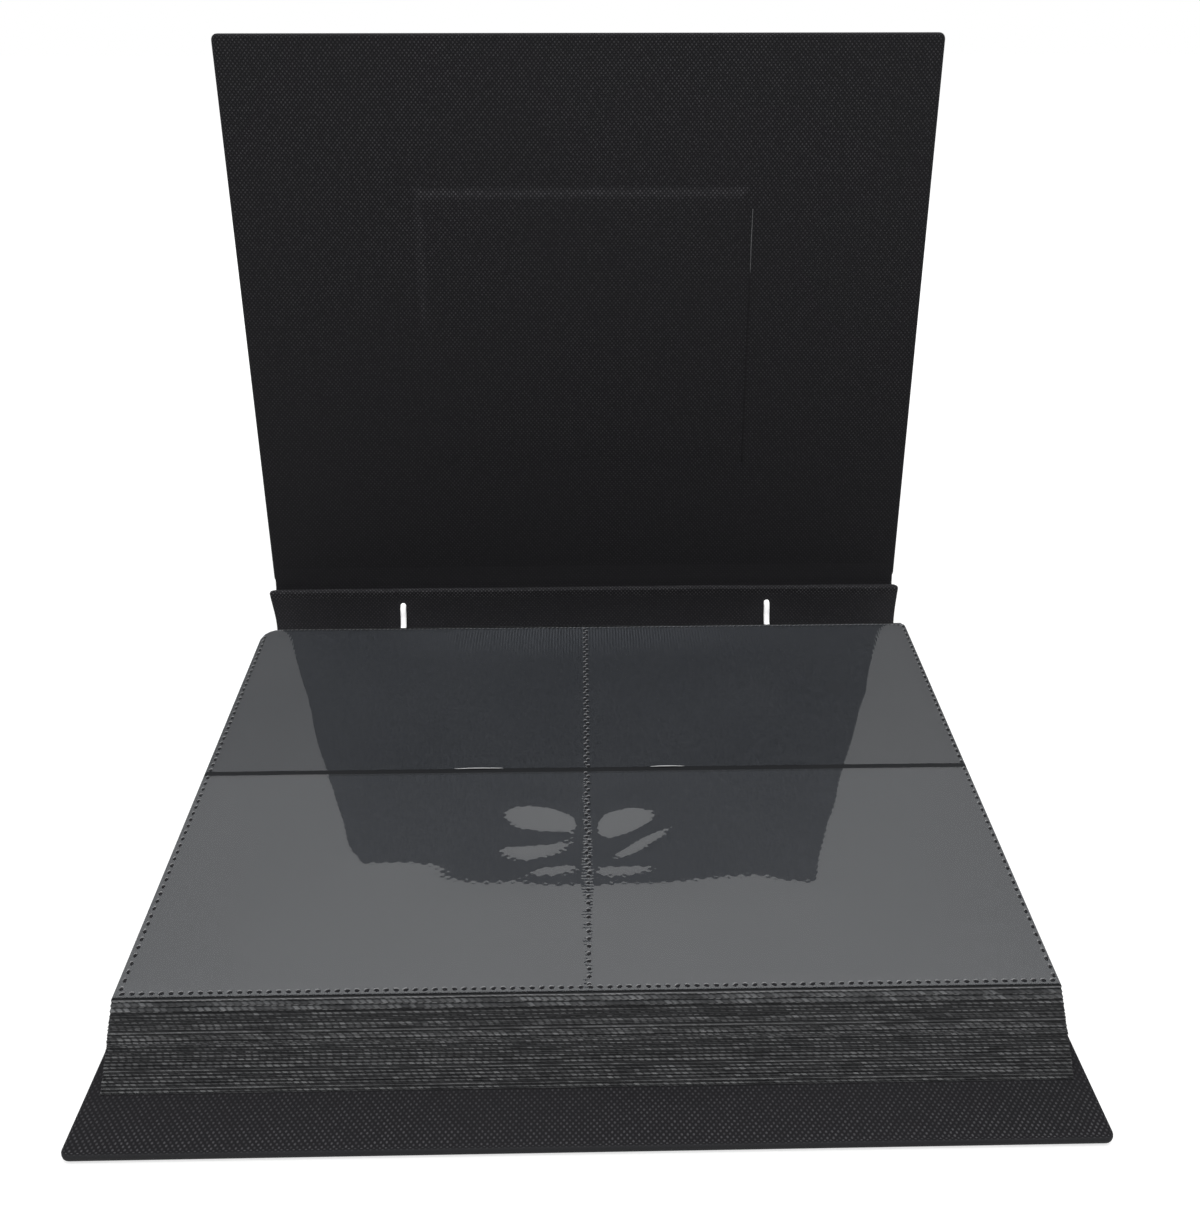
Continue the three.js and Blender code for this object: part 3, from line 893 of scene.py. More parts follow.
def spineSection(inset):
    tall = spine["thick"]
    low, high = 0.3 + inset, spineArc - 0.3 - inset
    thin, deep = inset, tall - inset
    r = max(spine["round"] - inset, 0.05)
    run, straight = high - low - 2 * r, 12
    outline = [(thin, low + r + run * k / straight) for k in range(straight + 1)]
    for cx, cy, start, steps in (
        (thin + r, high - r, 180, (22.5, 45, 67.5, 90)),
        (deep - r, high - r, 90, (0, 22.5, 45, 67.5, 90)),
    ):
        for a in steps:
            c = math.radians(start - a)
            outline.append((cx + r * math.cos(c), cy + r * math.sin(c)))
    outline += [(deep, high - r - run * k / straight) for k in range(1, straight + 1)]
    for cx, start, steps in ((deep - r, 0, (22.5, 45, 67.5, 90)), (thin + r, -90, (22.5, 45, 67.5))):
        for a in steps:
            c = math.radians(start - a)
            outline.append((cx + r * math.cos(c), low + r + r * math.sin(c)))
    flat = [0.0]
    for a, b in zip(outline, outline[1:]):
        flat.append(flat[-1] + math.dist(a, b))
    return [onSpine(inward, along) for inward, along in outline], flat


spineLook = {
    "faint": 0.8,     # how far the weave's dots fade on the face towards the leaves
    "pale": 0.75,     # how much paler the cloth is painted there: painted light on that face
    "waist": (1.8, 0.6),   # how far the left and the right end draw in at half height, mm
    "end": ((0.0, 1.3), (0.17, 0.65), (0.65, 0.17), (1.3, 0.0)),   # rounding of both ends: along, inset
    "stations": 44,
}


def spineSkin():
    half = case["width"] / 2
    ends = [(-half + along, inset) for along, inset in spineLook["end"]]
    first, count = ends[-1][0], spineLook["stations"]
    middle = [(first - 2 * first * k / count, 0.0) for k in range(1, count)]
    stations = ends + middle + [(-x, inset) for x, inset in ends[::-1]]
    points, uv, wear = [], [], []
    for x, inset in stations:
        section, flat = spineSection(inset)
        wobble = 0.18 * math.sin(x / 31.0) + 0.1 * math.sin(x / 11.0 + 2) + 0.9 * (1 - (x / half) ** 4)
        waist = spineLook["waist"][0 if x < 0 else 1] * abs(x / half) ** 8 * (1 if x < 0 else -1)
        for i, ((y, z), v) in enumerate(zip(section, flat)):
            rise = max(0.0, (z - 25) / 20)
            bend = math.sin(math.pi * clamped(z / spineTop[1])) ** 2
            points.append((x + waist * bend, y, z + wobble * rise * 0.8))
            uv.append((x * mm, v * mm))
            # the face towards the leaves is painted paler, painted light, and its dots fade
            onFace = 1.0 if i > 21 else 0.0
            wear.append((0.0, spineLook["faint"] * onFace, spineLook["pale"] * onFace))
    return meshObject("spineCloth", points, tubeFaces(len(stations), len(section)), uv, wear=wear)


spinePiece = spineSkin()
finish(spinePiece, coverCloth, "spine", "book_cloth", ("spine_cloth", "spine_lining", "spine_board"))


def clothRun(name, section, thick, stations=45, ends=1.0, faint=0.0):
    half = case["width"] / 2 - ends
    points, uv, wear = [], [], []
    smooth = chaikin(section, 3)
    lengths = [0.0]
    for a, b in zip(smooth, smooth[1:]):
        lengths.append(lengths[-1] + math.dist(a, b))
    for k in range(stations):
        x = -half + 2 * half * k / (stations - 1)
        for (y, z), v in zip(smooth, lengths):
            points.append((x, y, z))
            uv.append((x * mm, v * mm))
            wear.append((0.0, faint, 0.0))
    obj = meshObject(name, points, gridFaces(stations, len(smooth)), uv, wear=wear)
    return giveThickness(obj, thick, 0.0)


def chaikin(points, rounds):
    for _ in range(rounds):
        cut = [points[0]]
        for (ay, az), (by, bz) in zip(points, points[1:]):
            cut.append((ay * 0.75 + by * 0.25, az * 0.75 + bz * 0.25))
            cut.append((ay * 0.25 + by * 0.75, az * 0.25 + bz * 0.75))
        cut.append(points[-1])
        points = cut
    return points


def onInnerCover(up, out=0.0):
    return onFrontCover(0, -case["depth"] / 2 + up, case["thick"] + out)[1:]


def onOuterCover(up, out=0.0):
    return onFrontCover(0, -case["depth"] / 2 + up, -out)[1:]


outerFoot, innerFoot = onOuterCover(0), onInnerCover(0)
outerWay = [
    onSpine(0.1, spineArc - 9),
    onSpine(-0.25, spineArc - 6),
    onSpine(-0.25, spineArc - 1),
    (spineTop[0] + 3.0, spineTop[1] - 2.5),
    (outerFoot[0] - 4.5, outerFoot[1] - 3.2),
    (outerFoot[0] + 0.4, outerFoot[1] - 1.6),
    onOuterCover(2.5, 0.25),
    onOuterCover(6, 0.25),
    onOuterCover(9, -0.1),
]
innerWay = [
    onSpine(1.4, spineArc - 0.55),
    onSpine(0.4, spineArc - 0.9),
    (spineTop[0] + 1.2, spineTop[1] - 3.2),
    (innerFoot[0] - 3.2, innerFoot[1] - 5.5),
    (innerFoot[0] - 1.6, innerFoot[1] - 2.8),
    onInnerCover(0.4, 0.6),
    onInnerCover(3.0, 0.3),
    onInnerCover(5.5, 0.12),
    onInnerCover(9, -0.15),
]
for name, way, faint, replaced in (
    ("frontJointCloth", outerWay, 0.0, ("front_joint_cloth",)),
    ("frontJointLining", innerWay, 0.9, ()),
):
    joint = clothRun(name, way, 0.3, faint=faint)
    finish(joint, coverCloth, None, "book_cloth", replaced)
    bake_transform(joint)

backJoint = clothRun("backJointCloth", [
    (yRear - 6, 0.28),
    (yRear - 1, 0.28),
    (yRear + 3.0, 0.3),
    (yRear + 6.5, 0.3),
    (spineFoot[0] + 0.6, spineFoot[1] + 0.4),
    onSpine(-0.25, 3.0),
    onSpine(-0.25, 7.0),
], case["jointThick"] - 0.15)
finish(backJoint, coverCloth, None, "book_cloth", ("back_joint_cloth",))
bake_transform(backJoint)
print("spine and joints made")


foreTall, backTall, boundTall = (pile["leaves"] * pitch for pitch in pile["pitch"])
zPile = case["thick"] + pile["lift"]
zBound = zPile + pile["boundLift"]
pileRun = math.sqrt(leaf["depth"] ** 2 - (backTall - foreTall) ** 2)
margin = {
    "post": 13,             # from the turning part's back edge to the posts at the lowest leaf, mm
    "lean": 0.74,           # how far the posts lean back, per mm of height
    "front": (26 / 3, 2.9),  # from the posts to where the leaves lie flat, at the lowest and the top leaf
    "rear": (13, 6.2),      # and to their bound edge
}


def foreAt(t):
    return np.array([yFront + pile["inset"] + pile["slant"] * foreTall * t, zPile + foreTall * t])


def backAt(t):
    return np.array([foreAt(t)[0] + between(leaf["depth"], pileRun, t), zPile + backTall * t])


def postAt(t):
    y = foreAt(0)[0] + leaf["depth"] + margin["post"] + margin["lean"] * boundTall * t
    return np.array([y, zBound + boundTall * t])


def boundFrontAt(t):
    return postAt(t) - [between(*margin["front"], t), 0]


def boundRearAt(t):
    return postAt(t) + [between(*margin["rear"], t), 0]


def leafSection(t):
    fore, back = foreAt(t), backAt(t)
    way = [fore + (back - fore) * f for f in (0, 0.12, 0.3, 0.5, 0.7, 0.9)]
    way += [back, boundFrontAt(t), boundRearAt(t)]
    points = [tuple(p) for p in way]
    flat = points[:5]
    edgeShadeFull = chaikin(points[5:], 3)
    return np.array(flat + edgeShadeFull)


def leafSolid(name, t, nextT, stations=56):
    here, ahead = leafSection(t), leafSection(nextT)
    half = leaf["width"] / 2
    tall = pile["paper"]
    points, lift = [], []
    shape = [(p, 0.0) for p in here] + [(p, tall) for p in here[::-1]]
    change = list(ahead - here) + list((ahead - here)[::-1])
    for k in range(stations):
        x = -half + 2 * half * k / (stations - 1)
        for (p, up), more in zip(shape, change):
            points.append((x, p[0], p[1] + up))
            lift.append((0.0, more[0] * mm, more[1] * mm))
    obj = meshObject(name, points, tubeFaces(stations, len(shape)), smooth=False)
    giveAttribute(obj.data, "leafLift", "FLOAT_VECTOR", lift)
    return obj


packetLook = {
    "scatter": 0.16,        # how far a leaf lies out of line, mm
    "wave": 0.5,            # how far its edges swing, mm
    "seed": 3,
    "slow": (24, 4, 0),     # how fast they swing across and along, per metre
}


def packetTree():
    sizes = {"Leaves": "Int", "Edge Scatter": "Float", "Edge Wave": "Float", "Seed": "Int"}
    t = PieceTree("leafPacket", sizes)
    shine = t.add("FunctionNodeRandomValue", {"Seed": t.start["Seed"]}, data_type="FLOAT").outputs[1]
    whole = t.add("GeometryNodeGeometryToInstance", {0: t.start["Geometry"]}).outputs[0]
    amount = {"Geometry": whole, "Amount": t.start["Leaves"]}
    copies = t.add("GeometryNodeDuplicateElements", amount, domain="INSTANCE").outputs
    index = copies["Duplicate Index"]
    counted = t.store(copies["Geometry"], "leafNumber", "INT", index)
    # about every other leaf is dark at its edge and the ones between them light
    beat = t.math("FRACT", t.plus(t.times(index, 0.5), 0.25))
    glint = t.times(t.math("MULTIPLY_ADD", beat, 2.0, shine), 0.39)
    real = t.real(t.store(counted, "leafLuck", "FLOAT", glint))
    number = t.stored("leafNumber", "INT")
    rise = t.scaled(t.stored("leafLift", "FLOAT_VECTOR"), number)
    luck = t.random((-1, -1, 0), (1, 1, 0), ID=number)
    scatter = t.scaled(luck, t.start["Edge Scatter"])
    spread = t.vector("MULTIPLY", t.add("GeometryNodeInputPosition").outputs[0], packetLook["slow"])
    noise = t.noise(t.vector("MULTIPLY_ADD", luck, (37, 37, 0), spread), 1.0, 2.0)
    swing = t.join(Y=t.times(t.minus(noise, 0.5), t.start["Edge Wave"]))
    return t.close(t.moved(real, t.vector("ADD", t.vector("ADD", rise, scatter), swing)))


packet = packetTree()
placed = 0
for i in range(pile["sections"]):
    last = i == pile["sections"] - 1
    count = pile["leaves"] - placed if last else math.ceil(pile["leaves"] / pile["sections"])
    section = leafSolid(f"leafPacket{i + 1}", placed / pile["leaves"], (placed + 1) / pile["leaves"])
    placed += count
    runTree(section, packet, {
        "Leaves": count,
        "Edge Scatter": packetLook["scatter"] * mm,
        "Edge Wave": packetLook["wave"] * mm,
        "Seed": packetLook["seed"] + i,
        "Finish": leafEdges,
    })
    if last:
        # the pile's uppermost leaf has no lines on it
        for number, luck in zip(*(section.data.attributes[name].data for name in ("leafNumber", "leafLuck"))):
            luck.value = 0.0 if number.value == count - 1 else luck.value
    finish(section, None, "back_cover", "stacked_leaves", (f"leaf_section_{i + 1}",))
print("leaf pile made")


# the three leaves that turn
tilt = math.asin((backTall - foreTall) / leaf["depth"])
toFront = (-math.cos(tilt), -math.sin(tilt))
toUp = (-math.sin(tilt), math.cos(tilt))


def hingeOf(number):
    rise = leaf["apart"] + number * leafPitch
    return backAt(1)[0] + pile["slant"] * rise, backAt(1)[1] + rise


layers = {
    "sheet": (0.04, 0.06),  # how much the shown sheet is thinner below and above, mm
    "film": 0.1,            # from the sheet to its films
    "weld": 0.11,           # and to the weld marks
    "filmThin": 0.4,        # how thick the shown film is, as a share of the film
}
sheetLow = leaf["film"] + leaf["slack"] + layers["sheet"][0]
sheetTop = leaf["film"] + leaf["slack"] + leaf["sheet"] - layers["sheet"][1]
lips = [(-46.5, 10.5, 0.34), (34.5, 7.5, 0.34)]   # open mouths: x, half width, height
corners = (9.0, 2.5)   # how round the leaf's left and right corners are at the bound edge, mm


def leafEdgeAt(side, s):
    r = corners[0 if side < 0 else 1]
    inward = r - math.sqrt(max(0.0, r * r - (r - s) ** 2)) if s < r else 0.0
    return side * (leaf["width"] / 2 - inward)


def acrossLeaf(share, s):
    return leafEdgeAt(-1, s) + (leafEdgeAt(1, s) - leafEdgeAt(-1, s)) * share


def leafWave(number, x, s):
    wave = 0.1 * math.sin(x / 53.0 + number) * math.sin(s / 41.0 + 2 * number)
    return wave if number == 2 else wave * 0.5


def onLeaf(number):
    y0, z0 = hingeOf(number)

    def place(x, s, h):
        h = h + leafWave(number, x, s)
        if s < 4:
            h -= 0.35 * (1 - s / 4) ** 2
        return (x, y0 + toFront[0] * s + toUp[0] * h, z0 + toFront[1] * s + toUp[1] * h)

    return place


ripples = [
    # bulges of the front pockets beside the middle weld, which holds them down:
    # x, distance from the bound edge, half width, half depth, height, slant, curve
    (-19, 125.5, 15, 9.0, 1.75, 0.22, 0.0),
    (15.5, 127.0, 12, 8.5, 1.65, -0.22, 0.0),
    (-22, 146.0, 12, 4.4, 0.40, -0.05, -0.012),
    (22, 142.5, 15, 3.4, 0.28, -0.66, 0.004),
    (-12, 156.4, 9, 2.6, 0.13, -0.12, 0.0),
    (14, 157.0, 10, 2.6, 0.13, -0.08, 0.0),
]
waves = [
    # wide, low waves of the film: x, distance, half width, half depth, height
    (0, 172, 52, 13, 0.22),
    (-75, 150, 22, 8, 0.14),
    (-125, 75, 16, 30, 0.22),
    (-146, 12, 12, 16, 0.20),
    (118, 50, 14, 12, -0.16),
    (104, 76, 12, 14, -0.14),
    (84, 171, 18, 12, 0.13),
]
pillow = {
    "height": 0.10,         # how far a pocket's film stands off its welds, mm
    "weld": 1.5,
    "side": 9.0,            # from a weld to where the film is at its height
    "end": 6.0,
    "under": 0.6,           # share of the height on the leaf's lower face
}


def pillowAt(x, fromWeld, top):
    half = leaf["width"] / 2
    across = min(abs(x), half - abs(x))
    px = clamped((across - pillow["weld"]) / pillow["side"])
    ps = clamped((fromWeld - pillow["weld"]) / pillow["end"])
    return pillow["height"] * px * (2 - px) * ps * (2 - ps) * (1.0 if top else pillow["under"])


def rowSpan(back):
    return (0.35, leaf["row"]) if back else (leaf["row"] + leaf["mouth"], leaf["depth"])


def filmLift(x, s, number, back, top):
    s0, s1 = rowSpan(back)
    lift = pillowAt(x, s - s0 if back else s1 - s, top)
    if top and number == 2:
        held = min(1.0, abs(x) / 7)
        held = held * held * (3 - 2 * held)
        for cx, cs, wx, ws, tall, slant, curve in ripples:
            dx = x - cx
            away = (dx / wx) ** 2 + ((s - cs - slant * dx - curve * dx * dx) / ws) ** 2
            if away < 12 and not back:
                lift += tall * math.exp(-away) * held
        for cx, cs, wx, ws, tall in waves:
            away = ((x - cx) / wx) ** 2 + ((s - cs) / ws) ** 2
            if away < 12:
                lift += tall * math.exp(-away)
    if back and s1 - s < 6:
        curl = sum(tall * math.exp(-((x - cx) / wide) ** 2) for cx, wide, tall in lips)
        lift += curl * (1 - (s1 - s) / 6) ** 2 * (1.0 if top else 0.3)
    return lift


def filmRow(name, number, row, top, columns=130, rows=46):
    place = onLeaf(number)
    back = row == "back"
    s0, s1 = rowSpan(back)
    base = sheetTop + layers["film"] if top else sheetLow - layers["film"]
    sign = 1 if top else -1
    points, uv = [], []
    steps = [between(s0, s1, i / (rows - 1)) for i in range(rows)]
    if back:
        steps[1:1] = [0.7, 1.2]
    for s in steps:
        for j in range(columns):
            x = acrossLeaf(j / (columns - 1), s)
            points.append(place(x, s, base + sign * filmLift(x, s, number, back, top)))
            uv.append((x * mm, s * mm))
    obj = meshObject(name, points, gridFaces(len(steps), columns, flip=top), uv)
    return giveThickness(obj, leaf["film"] * layers["filmThin"], materials=(clearFilm, filmInside))


def sheetPiece(name, number, columns=60, rows=50):
    place = onLeaf(number)
    points, uv = [], []
    steps = [0.3, 0.7, 1.3, 2.2] + [leaf["depth"] * i / (rows - 1) for i in range(1, rows)]
    steps[-1] -= 0.2
    for s in steps:
        for j in range(columns):
            x = acrossLeaf(j / (columns - 1), s)
            points.append(place(x, s, sheetTop))
            uv.append((x * mm, s * mm))
    obj = meshObject(name, points, gridFaces(len(steps), columns, flip=True), uv)
    return giveThickness(obj, sheetTop - sheetLow)


hem = {
    # how far forward of the leaf's end, height, and the luck of its shine
    "top": [
        (-0.4, 0.59, 0.0), (-0.2, 0.59, 0.0), (0.02, 0.58, 0.99), (0.12, 0.26, 0.99), (-0.05, 0.24, 0.0),
        (-0.05, 0.16, 0.0), (0.08, 0.15, 0.68), (0.12, -0.24, 0.68), (-0.4, -0.25, 0.0),
    ],
    "under": [
        (-1.1, 0.60, 0.7), (-1.0, 0.62, 0.7), (0.05, 0.61, 0.7), (0.10, 0.30, 0.7), (-0.05, 0.28, 0.0),
        (-0.05, 0.18, 0.0), (0.05, 0.17, 0.6), (0.10, -0.24, 0.6), (-0.4, -0.25, 0.0),
    ],
    "swing": 0.05,
}


def leafHem(name, number, stations=220):
    # the leaf's layers at its front edge, one under the other
    place = onLeaf(number)
    profile = hem["top" if number == 2 else "under"]
    points, lucks = [], []
    half = leaf["width"] / 2
    for k in range(stations):
        x = -half + 0.1 + (2 * half - 0.2) * k / (stations - 1)
        for i, (forward, high, luck) in enumerate(profile):
            swing = hem["swing"] * math.sin(x / (7.3 + i // 4) + number + i // 4) if forward > 0 else 0.0
            points.append(place(x, leaf["depth"] + forward + swing, high))
            lucks.append(luck + 0.06 * number if 0 < luck < 0.9 else luck)
    obj = meshObject(name, points, tubeFaces(stations, len(profile)), smooth=False)
    giveAttribute(obj.data, "leafLuck", "FLOAT", lucks)
    return obj


def mouthLips(name, number, steps=28):
    # the rolled edge of the film where the back pockets' mouths stand open, coloured pale as a painted
    # highlight
    place = onLeaf(number)
    section = ((-0.14, -0.04), (-0.10, 0.2), (0.08, 0.3), (0.24, 0.2), (0.28, 0.0), (0.05, -0.08))
    points, faces, uv = [], [], []
    for cx, wide, _ in lips:
        start = len(points)
        for k in range(steps):
            f = 2 * k / (steps - 1) - 1
            x = cx + f * wide
            size = 0.15 + 0.85 * math.sqrt(1 - f * f)
            lift = filmLift(x, leaf["row"], number, True, True)
            for ds, dh in section:
                high = sheetTop + layers["film"] + lift + dh * size
                points.append(place(x, leaf["row"] + ds * size, high))
                uv.append((x * mm, ds * mm))
        faces += tubeFaces(steps, len(section), start)
    return meshObject(name, points, faces, uv)


seams = {
    "pitch": 3.35,          # between weld marks, mm
    "middlePitch": 3.1,
    "boundPitch": 2.2,
    "zigzag": 1.1,
    "size": 1.15,           # radius of a mark with its bright rim, mm
    "sideInset": (2.0, 1.2),    # from the leaf's left and right edge
    "frontInset": 2.5,
    "rise": 0.12,           # height of the rim
}


def weldDot():
    points, faces, shine = [(0, 0, 0.4 * seams["rise"])], [], [(0, 0, 0)]
    sides = 10
    # radius and height as shares of a mark's size and rise, and how bright the ring is: a painted highlight,
    # strongest on the side towards the light
    rings = ((0.50, 0.2, 0.0), (0.62, 1.0, 1.0), (0.90, 0.9, 1.0), (1.0, -0.6, 0.7))
    for radius, height, bright in rings:
        for k in range(sides):
            a = 2 * math.pi * k / sides
            lit = max(0.0, -math.sin(a + 0.35))
            r = seams["size"] * (0.5 + (radius - 0.5) * (0.15 + 0.85 * lit))
            points.append((r * math.cos(a), r * 0.85 * math.sin(a), height * seams["rise"]))
            shine.append((bright * lit, 0, 0))
    for k in range(sides):
        faces.append((0, 1 + k, 1 + (k + 1) % sides))
    for ring in range(len(rings) - 1):
        for k in range(sides):
            a, b = 1 + ring * sides + k, 1 + ring * sides + (k + 1) % sides
            faces.append((a, a + sides, b + sides, b))
    faces.append(tuple(range(1 + (len(rings) - 1) * sides, 1 + len(rings) * sides))[::-1])
    return meshObject("weldDot", points, faces, wear=shine)


def weldTree():
    t = PieceTree("weldRow", {
        "Dot": "Object", "Pitch": "Float", "Zigzag": "Float", "Long": "Float", "Deep": "Float", "Seed": "Int",
    })
    curve = t.add("GeometryNodeMeshToCurve", {0: t.start["Geometry"]}).outputs[0]
    spacing = {"Curve": curve, "Length": t.start["Pitch"]}
    even = t.add("GeometryNodeResampleCurve", spacing, mode="LENGTH").outputs[0]
    dot = t.add("GeometryNodeObjectInfo", {"Object": t.start["Dot"]}).outputs["Geometry"]
    # every second mark lies on the other side of the line
    odd = t.math("MODULO", t.add("GeometryNodeInputIndex").outputs[0], 2)
    moved = t.moved(even, t.join(X=t.times(t.minus(odd, 0.5), t.start["Zigzag"])))
    placed = t.add("GeometryNodeInstanceOnPoints", {
        "Points": moved,
        "Instance": dot,
        "Rotation": t.random((0, 0, -0.3), (0, 0, 0.3)),
        "Scale": t.join(X=t.start["Long"], Y=t.start["Deep"], Z=1.0),
    })
    return t.close(t.real(placed.outputs[0]))


def line(name, a, b):
    mesh = bpy.data.meshes.new(name)
    mesh.from_pydata([Vector(a) * mm, Vector(b) * mm], [(0, 1)], [])
    obj = bpy.data.objects.new(name, mesh)
    bpy.context.scene.collection.objects.link(obj)
    return obj


dotShape = weldDot()
rowTree = weldTree()


def weldRow(name, a, b, pitch, zigzag, long, deep, seed):
    row = line(name, a, b)
    return runTree(row, rowTree, {
        "Dot": dotShape,
        "Pitch": pitch * mm,
        "Zigzag": zigzag * mm,
        "Long": long,
        "Deep": deep,
        "Seed": seed,
        "Finish": weldMarks,
    })


def joined(name, objects):
    points, faces, wear = [], [], []
    for obj in objects:
        start = len(points)
        points += [tuple(v.co / mm) for v in obj.data.vertices]
        faces += [tuple(start + i for i in p.vertices) for p in obj.data.polygons]
        wear += [tuple(item.vector) for item in obj.data.attributes["wear"].data]
        bpy.data.objects.remove(obj)
    return meshObject(name, points, faces, wear=wear)


def weldsOn(name, number, top):
    half = leaf["width"] / 2
    left, right = seams["sideInset"][0] - half, half - seams["sideInset"][1]
    front = leaf["depth"] - seams["frontInset"]
    mouthEnd = leaf["row"] + leaf["mouth"]
    # from, to, pitch, zigzag, and how long and deep the marks are
    rows = [
        ((left, 7, 0), (left, leaf["row"] - 1, 0), seams["pitch"], 0.0, 0.95, 1.5),
        ((right, 3, 0), (right, leaf["row"] - 1, 0), seams["pitch"], 0.0, 0.9, 1.5),
        ((left, mouthEnd + 1, 0), (left, front - 2, 0), seams["pitch"], 0.0, 0.9, 1.4),
        ((right, mouthEnd + 1, 0), (right, front - 2, 0), seams["pitch"], 0.0, 0.85, 1.4),
        ((left + 1, front, 0), (right - 1, front, 0), seams["pitch"], 0.0, 1.35, 1.0),
        ((0, 2.5, 0), (0, leaf["row"] - 0.9, 0), seams["middlePitch"] / 1.6, seams["zigzag"], 1.1, 1.3),
        ((0, mouthEnd + 1, 0), (0, 160, 0), seams["middlePitch"] / 1.6, seams["zigzag"], 1.1, 1.2),
        ((0, 162, 0), (0, front - 1, 0), seams["middlePitch"], 0.0, 1.15, 1.1),
        ((left + 8, 1.3, 0), (right - 2, 1.3, 0), seams["boundPitch"], 0.0, 0.8, 1.0),
    ]
    made = joined(name, [weldRow(f"{name}{k}", *row, 5 + k) for k, row in enumerate(rows)])
    place = onLeaf(number)
    base = sheetTop + layers["weld"] if top else sheetLow - layers["weld"]
    for v in made.data.vertices:
        x, s, h = v.co / mm
        h += filmLift(x, s, number, s < leaf["row"] + 0.5 * leaf["mouth"], top)
        x, y, z = place(x, s, base + (h if top else -h))
        v.co = (x * mm, y * mm, z * mm)
    if top:
        made.data.flip_normals()
    return made


for number, name in enumerate(("third", "second", "top")):
    body, piece = name + "_leaf", name + "Leaf"
    finish(sheetPiece(piece + "Sheet", number), blackSheet, body, "black_sheet", (body + "_sheet",))
    for top in (True, False):
        side = "" if top else "under_"
        fine = top and number == 2
        for row in ("back", "front"):
            label = piece + ("" if top else "Under") + row.capitalize() + "Film"
            film = filmRow(label, number, row, top, 240 if fine else 110, 84 if fine else 36)
            finish(film, None, body, "clear_film", (f"{body}_{side}{row}_film",))
        welds = weldsOn(piece + ("Top" if top else "Under") + "Welds", number, top)
        finish(welds, weldMarks, body, "clear_film")
    finish(leafHem(piece + "Hem", number), leafEdges, body, "stacked_leaves")
finish(mouthLips("topLeafMouthLips", 2), filmLipHighlight, "top_leaf", "clear_film")
bpy.data.objects.remove(dotShape)
print("turning leaves made")


def marginSheets():
    half = leaf["width"] / 2
    points, faces = [], []
    stations = 40
    for number in range(3):
        y0, z0 = hingeOf(number)
        up = np.array([0.0, number * pile["pitch"][2] + 0.1])
        a, b = boundFrontAt(1) + up, boundRearAt(1) + up
        way = chaikin([
            (y0 + 0.35, z0 + 0.15),
            (y0 + 1.6, z0 - 1.2),
            (a[0] + 0.3 + number * 0.5, a[1] + 1.5),
            (a[0] + 2.5, a[1] + 0.1),
            tuple(b),
        ], 3)
        start = len(points)
        ring = way + [(y + 0.12, z + 0.24) for y, z in way[::-1]]
        for k in range(stations):
            x = between(-half + 7, half - 1, k / (stations - 1))
            points += [(x, y + 0.15 * math.sin(x / 37.0 + number), z) for y, z in ring]
        faces += tubeFaces(stations, len(ring), start)
    return meshObject("turningLeafMargins", points, faces)


finish(marginSheets(), leafEdges, "back_cover", "stacked_leaves", ("turning_leaf_margins",))


postShape = {
    "radius": 1.5,
    "spacing": 196.0,
    "share": 0.62,          # where they meet the spine, from its middle to its upper edge
    "face": 1.95,           # how deep in the spine they end, mm
    "sides": 20,
    "round": (0.70, 0.72),  # radius of the two ends' flat faces, as a share of the post's
}


def smoothPath(points, count):
    way = [np.array(p, float) for p in points]
    found = []
    for i in range(len(way) - 1):
        a, b = way[i], way[i + 1]
        before = way[i - 1] if i else a - (b - a)
        after = way[i + 2] if i + 2 < len(way) else b + (b - a)
        for k in range(count):
            t = k / count
            found.append(0.5 * (2 * a + (b - before) * t + (2 * before - 5 * a + 4 * b - after) * t * t
                                + (3 * a - before - 3 * b + after) * t ** 3))
    found.append(way[-1])
    return found


def postPath():
    along = (postShape["share"] + 1) / 2 * spineArc
    foot = postAt(0)[0] - 1.2
    return [
        (foot, zPile + 1.15),
        (foot, zPile + 2.15),
        tuple(postAt(0.35)),
        tuple(postAt(0.75)),
        onSpine(9.0, along - 14.5),
        onSpine(5.7, along - 8),
        onSpine(5.1, along - 3.4),
        onSpine(3.9, along - 0.6),
        onSpine(postShape["face"], along),
    ]


def postTube(name, x):
    path = smoothPath(postPath(), 6)
    r, sides = postShape["radius"], postShape["sides"]
    rings = []
    for i, p in enumerate(path):
        ahead = path[min(i + 1, len(path) - 1)] - path[max(i - 1, 0)]
        rings.append((p, ahead / np.linalg.norm(ahead), r))
    (foot, up, _), (end, out, _) = rings[0], rings[-1]
    rings = [(foot, up, r * postShape["round"][0]), (foot + up * 0.3, up, r)] + rings[1:-1]
    rings += [(end - out * 0.35, out, r), (end, out, r * postShape["round"][1])]
    points = []
    for p, ahead, radius in rings:
        side = np.array([-ahead[1], ahead[0]])
        for k in range(sides):
            a = 2 * math.pi * k / sides
            off = side * radius * math.sin(a)
            points.append((x + radius * math.cos(a), p[0] + off[0], p[1] + off[1]))
    return meshObject(name, points, tubeFaces(len(rings), sides, flip=True))


for side, x in (("left", -postShape["spacing"] / 2), ("right", postShape["spacing"] / 2)):
    post = postTube(side + "Post", x)
    finish(post, whiteNylon, None, "white_nylon", ("post_" + side,))
    low, high = ((0, y * mm, z * mm) for y, z in postPath()[4:6])
    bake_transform(post)
    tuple(low)
    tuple(high)
print("posts made")


stage = {
    "floor": 0.5,           # how bright the floor is to the lamps
    "level": -0.4,          # its height, mm
    "size": 6000,
    "glow": (0.62, 0.9),    # what it shows near the album and far off
    "far": (0.3, 1.2),      # how far that is, m
    "world": 0.3,           # light from all round
    "seen": 1.0,            # what the background shows to the camera
    "low": 0.55,            # and low down in mirrors
    "top": 30.0,            # power of the lamp above, W
    "front": 1.5,
}


